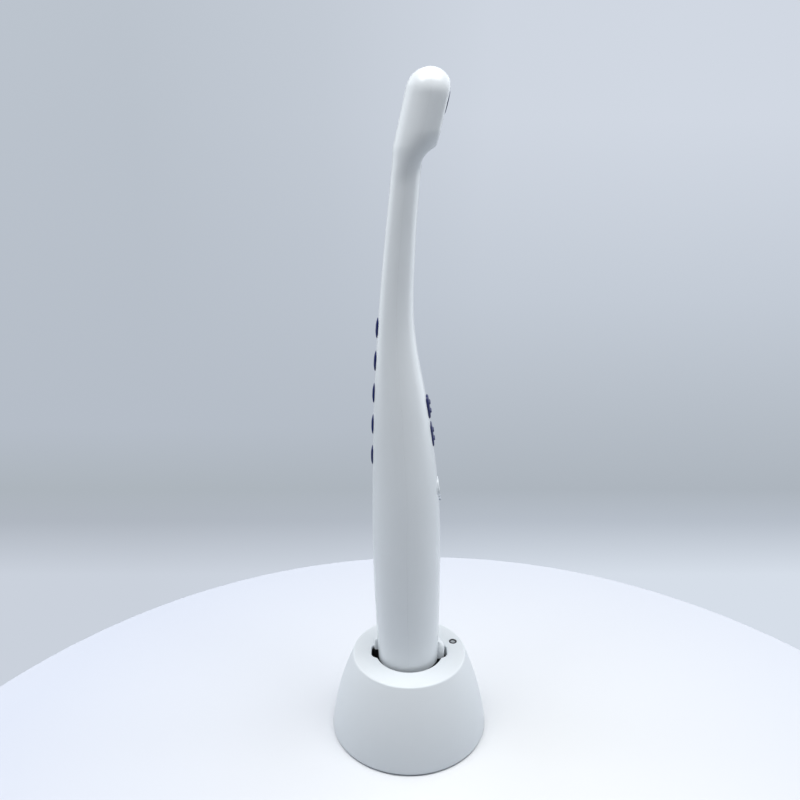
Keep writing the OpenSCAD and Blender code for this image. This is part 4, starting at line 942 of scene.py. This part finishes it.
def navy_button(name, length, height):
    """Button with a softly rounded edge, two ridges across it, and a face bent round the panel and bowed."""
    def face(along, across):
        round_face = -PANEL_W + math.sqrt((PANEL_W + BUTTON_RISE)**2 - across**2)
        return float(soft_min(round_face, bowed(along, length, BUTTON_RISE, BUTTON_END_RISE), BOW_EDGE))

    body = pillow(name, length, BUTTON_W, BUTTON_CORNER_R, -STEM_DEPTH, BUTTON_EDGE_R, face)
    flange = slab("button_flange", length, BUTTON_W + 2 * FLANGE, FLANGE_CORNER_R,
                  -STEM_DEPTH, -STEM_DEPTH + FLANGE_H)
    for part in (flange, ridge(RIDGE_PITCH / 2), ridge(-RIDGE_PITCH / 2)):
        combine(body, part, "UNION")
    place(body, ON_PANEL @ Matrix.Translation((0, 0, height)))
    soften(body, 50)
    dress(body, NAVY)
    return body


for name, length, height in (("upper_button", UPPER_LEN, UPPER_Z), ("lower_button", LOWER_LEN, LOWER_Z)):
    button = navy_button("navy_" + name, length, height)
    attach(button, name)
    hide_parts(name)

power_r, flange_r, flange_top = POWER_D / 2, POWER_D / 2 + FLANGE, -STEM_DEPTH + FLANGE_H
power = revolve("white_power_button",
                [(0, -STEM_DEPTH), (flange_r, -STEM_DEPTH), (flange_r, flange_top), (power_r, flange_top)]
                + round_corner(power_r - POWER_EDGE_R, POWER_RISE - POWER_EDGE_R, POWER_EDGE_R, 0, 90, 6)
                + [(r, POWER_RISE - depth) for r, depth in POWER_DISH], 96)
place(power, ON_PANEL @ Matrix.Translation((0, 0, -POWER_DROP)) @ OUT_OF_Z)
dress(power, SHELL_WHITE)
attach(power, "power_button")
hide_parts("power_button")

# Lens
bore_r, seat_r, pane_r = BEZEL_BORE / 2, BEZEL_BORE / 2 - BEZEL_SEAT, BEZEL_BORE / 2 - FIT
bezel = revolve("lens_ring",
                [(seat_r, -SHELL_WALL), (BEZEL_D / 2, -SHELL_WALL)]
                + round_corner(BEZEL_D / 2 - BEZEL_EDGE_R, BEZEL_RISE - BEZEL_EDGE_R, BEZEL_EDGE_R, 0, 90, 5)
                + round_corner(bore_r + BORE_EDGE_R, BEZEL_RISE - BORE_EDGE_R, BORE_EDGE_R, 90, 180, 4)
                + [(bore_r, WINDOW_BACK), (seat_r, WINDOW_BACK)], 128)
window = revolve("lens_pane",
                 [(0, WINDOW_BACK), (pane_r, WINDOW_BACK), (pane_r, WINDOW_FRONT - WINDOW_BEVEL),
                  (pane_r - WINDOW_BEVEL, WINDOW_FRONT), (0, WINDOW_FRONT)], 96)
# Barrel as (radius, depth behind its front): tube with a groove, rounded rim, sunk front glass
tube = ((0, 4.6), (1.3, 4.6), (1.3, 1.0), (1.2, 0.9), (1.2, 0.6), (1.3, 0.5))
sunk_glass = ((0.95, 0), (0.75, 0.3), (0.55, 0.22), (0.3, 0.15), (0, 0.13))
barrel_front = WINDOW_BACK - BARREL_GAP
rim = round_corner(BARREL_RIM_R - BARREL_EDGE_R, barrel_front - BARREL_EDGE_R, BARREL_EDGE_R, 0, 90, 4)
barrel = revolve("lens_tube", [(r, barrel_front - depth) for r, depth in tube] + rim
                 + [(r, barrel_front - depth) for r, depth in sunk_glass], 64)
for obj, node, finish, slot in ((bezel, "lens_bezel", BEZEL_NAVY, "navy_plastic"),
                                (window, "lens_window", GLASS, "lens_glass"),
                                (barrel, "lens_barrel", DARK, "dark_plastic")):
    place(obj, ON_FACE @ OUT_OF_Z)
    dress(obj, finish)
    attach(obj, "camera_and_stand")
    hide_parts(node)
dress(barrel, DARK, BLACK_GLASS)
for poly in barrel.data.polygons:
    centre = (ON_FACE @ OUT_OF_Z).inverted() @ (poly.center / MM)
    if math.hypot(centre.x, centre.y) < FRONT_GLASS_R and centre.z > barrel_front - FRONT_GLASS_DEPTH:
        poly.material_index = 1

# Table, backdrop and light
table = revolve("round_table", [(0, -TABLE_H), (TABLE_R, -TABLE_H)]
                + round_corner(TABLE_R - TABLE_EDGE_R, -TABLE_EDGE_R, TABLE_EDGE_R, 0, 90, 6) + [(0, 0)], 256)
place(table, Matrix.Translation((*TABLE_MIDDLE, 0)))


def background_rays(tree):
    """1 for rays from the camera, from a mirror or through glass, 0 for the light on the object."""
    paths = tree.nodes.new("ShaderNodeLightPath")
    seen = paths.outputs["Is Camera Ray"]
    for other in ("Is Transmission Ray", "Is Glossy Ray"):
        seen = value_of(tree, "MAXIMUM", seen, paths.outputs[other])
    return seen


def table_finish(name, near, far, bounced):
    """A matt finish, palest before the stand in a painted pool of light, that looks brighter than the light
    it throws back.
    """
    mat = bpy.data.materials.new(name)
    mat.use_nodes = True
    tree = mat.node_tree
    shader = tree.nodes["Principled BSDF"]
    shader.inputs["Roughness"].default_value = 0.8
    shader.inputs["Specular IOR Level"].default_value = 0
    where = tree.nodes.new("ShaderNodeTexCoord")
    away = tree.nodes.new("ShaderNodeVectorMath")
    away.operation = "DISTANCE"
    tree.links.new(where.outputs["Object"], away.inputs[0])
    away.inputs[1].default_value = (PAINTED_LIGHT_POOL[0] * MM, PAINTED_LIGHT_POOL[1] * MM, 0)
    fade = spread_of(tree, away.outputs["Value"], PAINTED_LIGHT_POOL_NEAR * MM, PAINTED_LIGHT_POOL_FAR * MM)
    seen = blend_of(tree, fade, colour_of(*near), colour_of(*far))
    colour = blend_of(tree, background_rays(tree), colour_of(*bounced), seen)
    tree.links.new(colour, shader.inputs["Base Color"])
    return mat


# The near colour is a painted pool of light before the stand that fades to the far colour
dress(table, table_finish("white_table", near=(225, 227, 229), far=(208, 213, 225), bounced=(180, 186, 194)))

AMBIENT_TINT, AMBIENT_STRENGTH, SIDE_TINT = (0.93, 0.96, 1.0, 1), 0.28, (0.9, 0.95, 1.0)
BACKDROP_LOW, BACKDROP_HIGH, BACKDROP_SIDE, MOST_SIDEWAYS = -0.56, 0.14, 0.3, 0.3
world = bpy.data.worlds.new("studio")
bpy.context.scene.world = world
world.use_nodes = True
wt = world.node_tree
wt.nodes.clear()
out = wt.nodes.new("ShaderNodeOutputWorld")
ambient = wt.nodes.new("ShaderNodeBackground")
ambient.inputs["Color"].default_value = AMBIENT_TINT
ambient.inputs["Strength"].default_value = AMBIENT_STRENGTH


def ramp_over(source, stops):
    """A colour ramp over a value, with stops of (place, sRGB colour)."""
    ramp = wt.nodes.new("ShaderNodeValToRGB")
    while len(ramp.color_ramp.elements) < len(stops):
        ramp.color_ramp.elements.new(0.5)
    for element, (at, colour) in zip(ramp.color_ramp.elements, stops):
        element.position = at
        element.color = colour_of(*colour)
    wt.links.new(source, ramp.inputs[0])
    return ramp.outputs[0]


# Backdrop: tones from low to high on the left, others on the right, and a soft change between them
look = wt.nodes.new("ShaderNodeTexCoord")
way = wt.nodes.new("ShaderNodeSeparateXYZ")
wt.links.new(look.outputs["Generated"], way.inputs[0])
# Dividing by the share that isn't sideways keeps the bands of tone level across a view along Y
sideways = value_of(wt, "MINIMUM", value_of(wt, "MULTIPLY", way.outputs[0], way.outputs[0]),
                    MOST_SIDEWAYS)
ahead = value_of(wt, "POWER", value_of(wt, "SUBTRACT", 1, sideways), 0.5)
height = spread_of(wt, value_of(wt, "DIVIDE", way.outputs[2], ahead), BACKDROP_LOW, BACKDROP_HIGH)
left_tones = ramp_over(height, ((0.05, (202, 209, 220)), (0.13, (176, 183, 193)), (0.18, (173, 181, 189)),
                                (0.28, (181, 189, 200)), (1.0, (188, 196, 206))))
right_tones = ramp_over(height, ((0.05, (214, 222, 233)), (0.13, (183, 191, 202)), (0.18, (173, 181, 190)),
                                 (0.5, (195, 203, 214)), (0.8, (209, 216, 227))))
change = ramp_over(spread_of(wt, way.outputs[0], -BACKDROP_SIDE, BACKDROP_SIDE),
                   ((0.0, (0, 0, 0)), (0.35, (155, 155, 155)), (0.67, (243, 243, 243)),
                    (1.0, (255, 255, 255))))
behind = wt.nodes.new("ShaderNodeBackground")
wt.links.new(blend_of(wt, change, left_tones, right_tones), behind.inputs["Color"])
mix = wt.nodes.new("ShaderNodeMixShader")
wt.links.new(background_rays(wt), mix.inputs[0])
wt.links.new(ambient.outputs[0], mix.inputs[1])
wt.links.new(behind.outputs[0], mix.inputs[2])
wt.links.new(mix.outputs[0], out.inputs[0])


def softbox(name, place_at, aim_at, width, height, watts, colour=(1, 1, 1)):
    """A rectangular light that faces a point, with lengths in metres."""
    data = bpy.data.lights.new(name, "AREA")
    data.shape = "RECTANGLE"
    data.size, data.size_y = width, height
    data.energy = watts
    data.color = colour
    obj = bpy.data.objects.new(name, data)
    bpy.context.collection.objects.link(obj)
    obj.location = place_at
    obj.rotation_euler = (Vector(aim_at) - Vector(place_at)).to_track_quat("-Z", "Y").to_euler()


softbox("top_softbox", (0.0, -0.125, 0.9), (0, 0, 0.05), width=1.1, height=0.44, watts=8.8)
softbox("left_softbox", (-0.73, 0.34, 0.3), (0, 0, 0.13), 0.8, 0.8, watts=2.6, colour=SIDE_TINT)
softbox("right_softbox", (0.73, 0.34, 0.3), (0, 0, 0.13), 0.8, 0.8, watts=3.0, colour=SIDE_TINT)
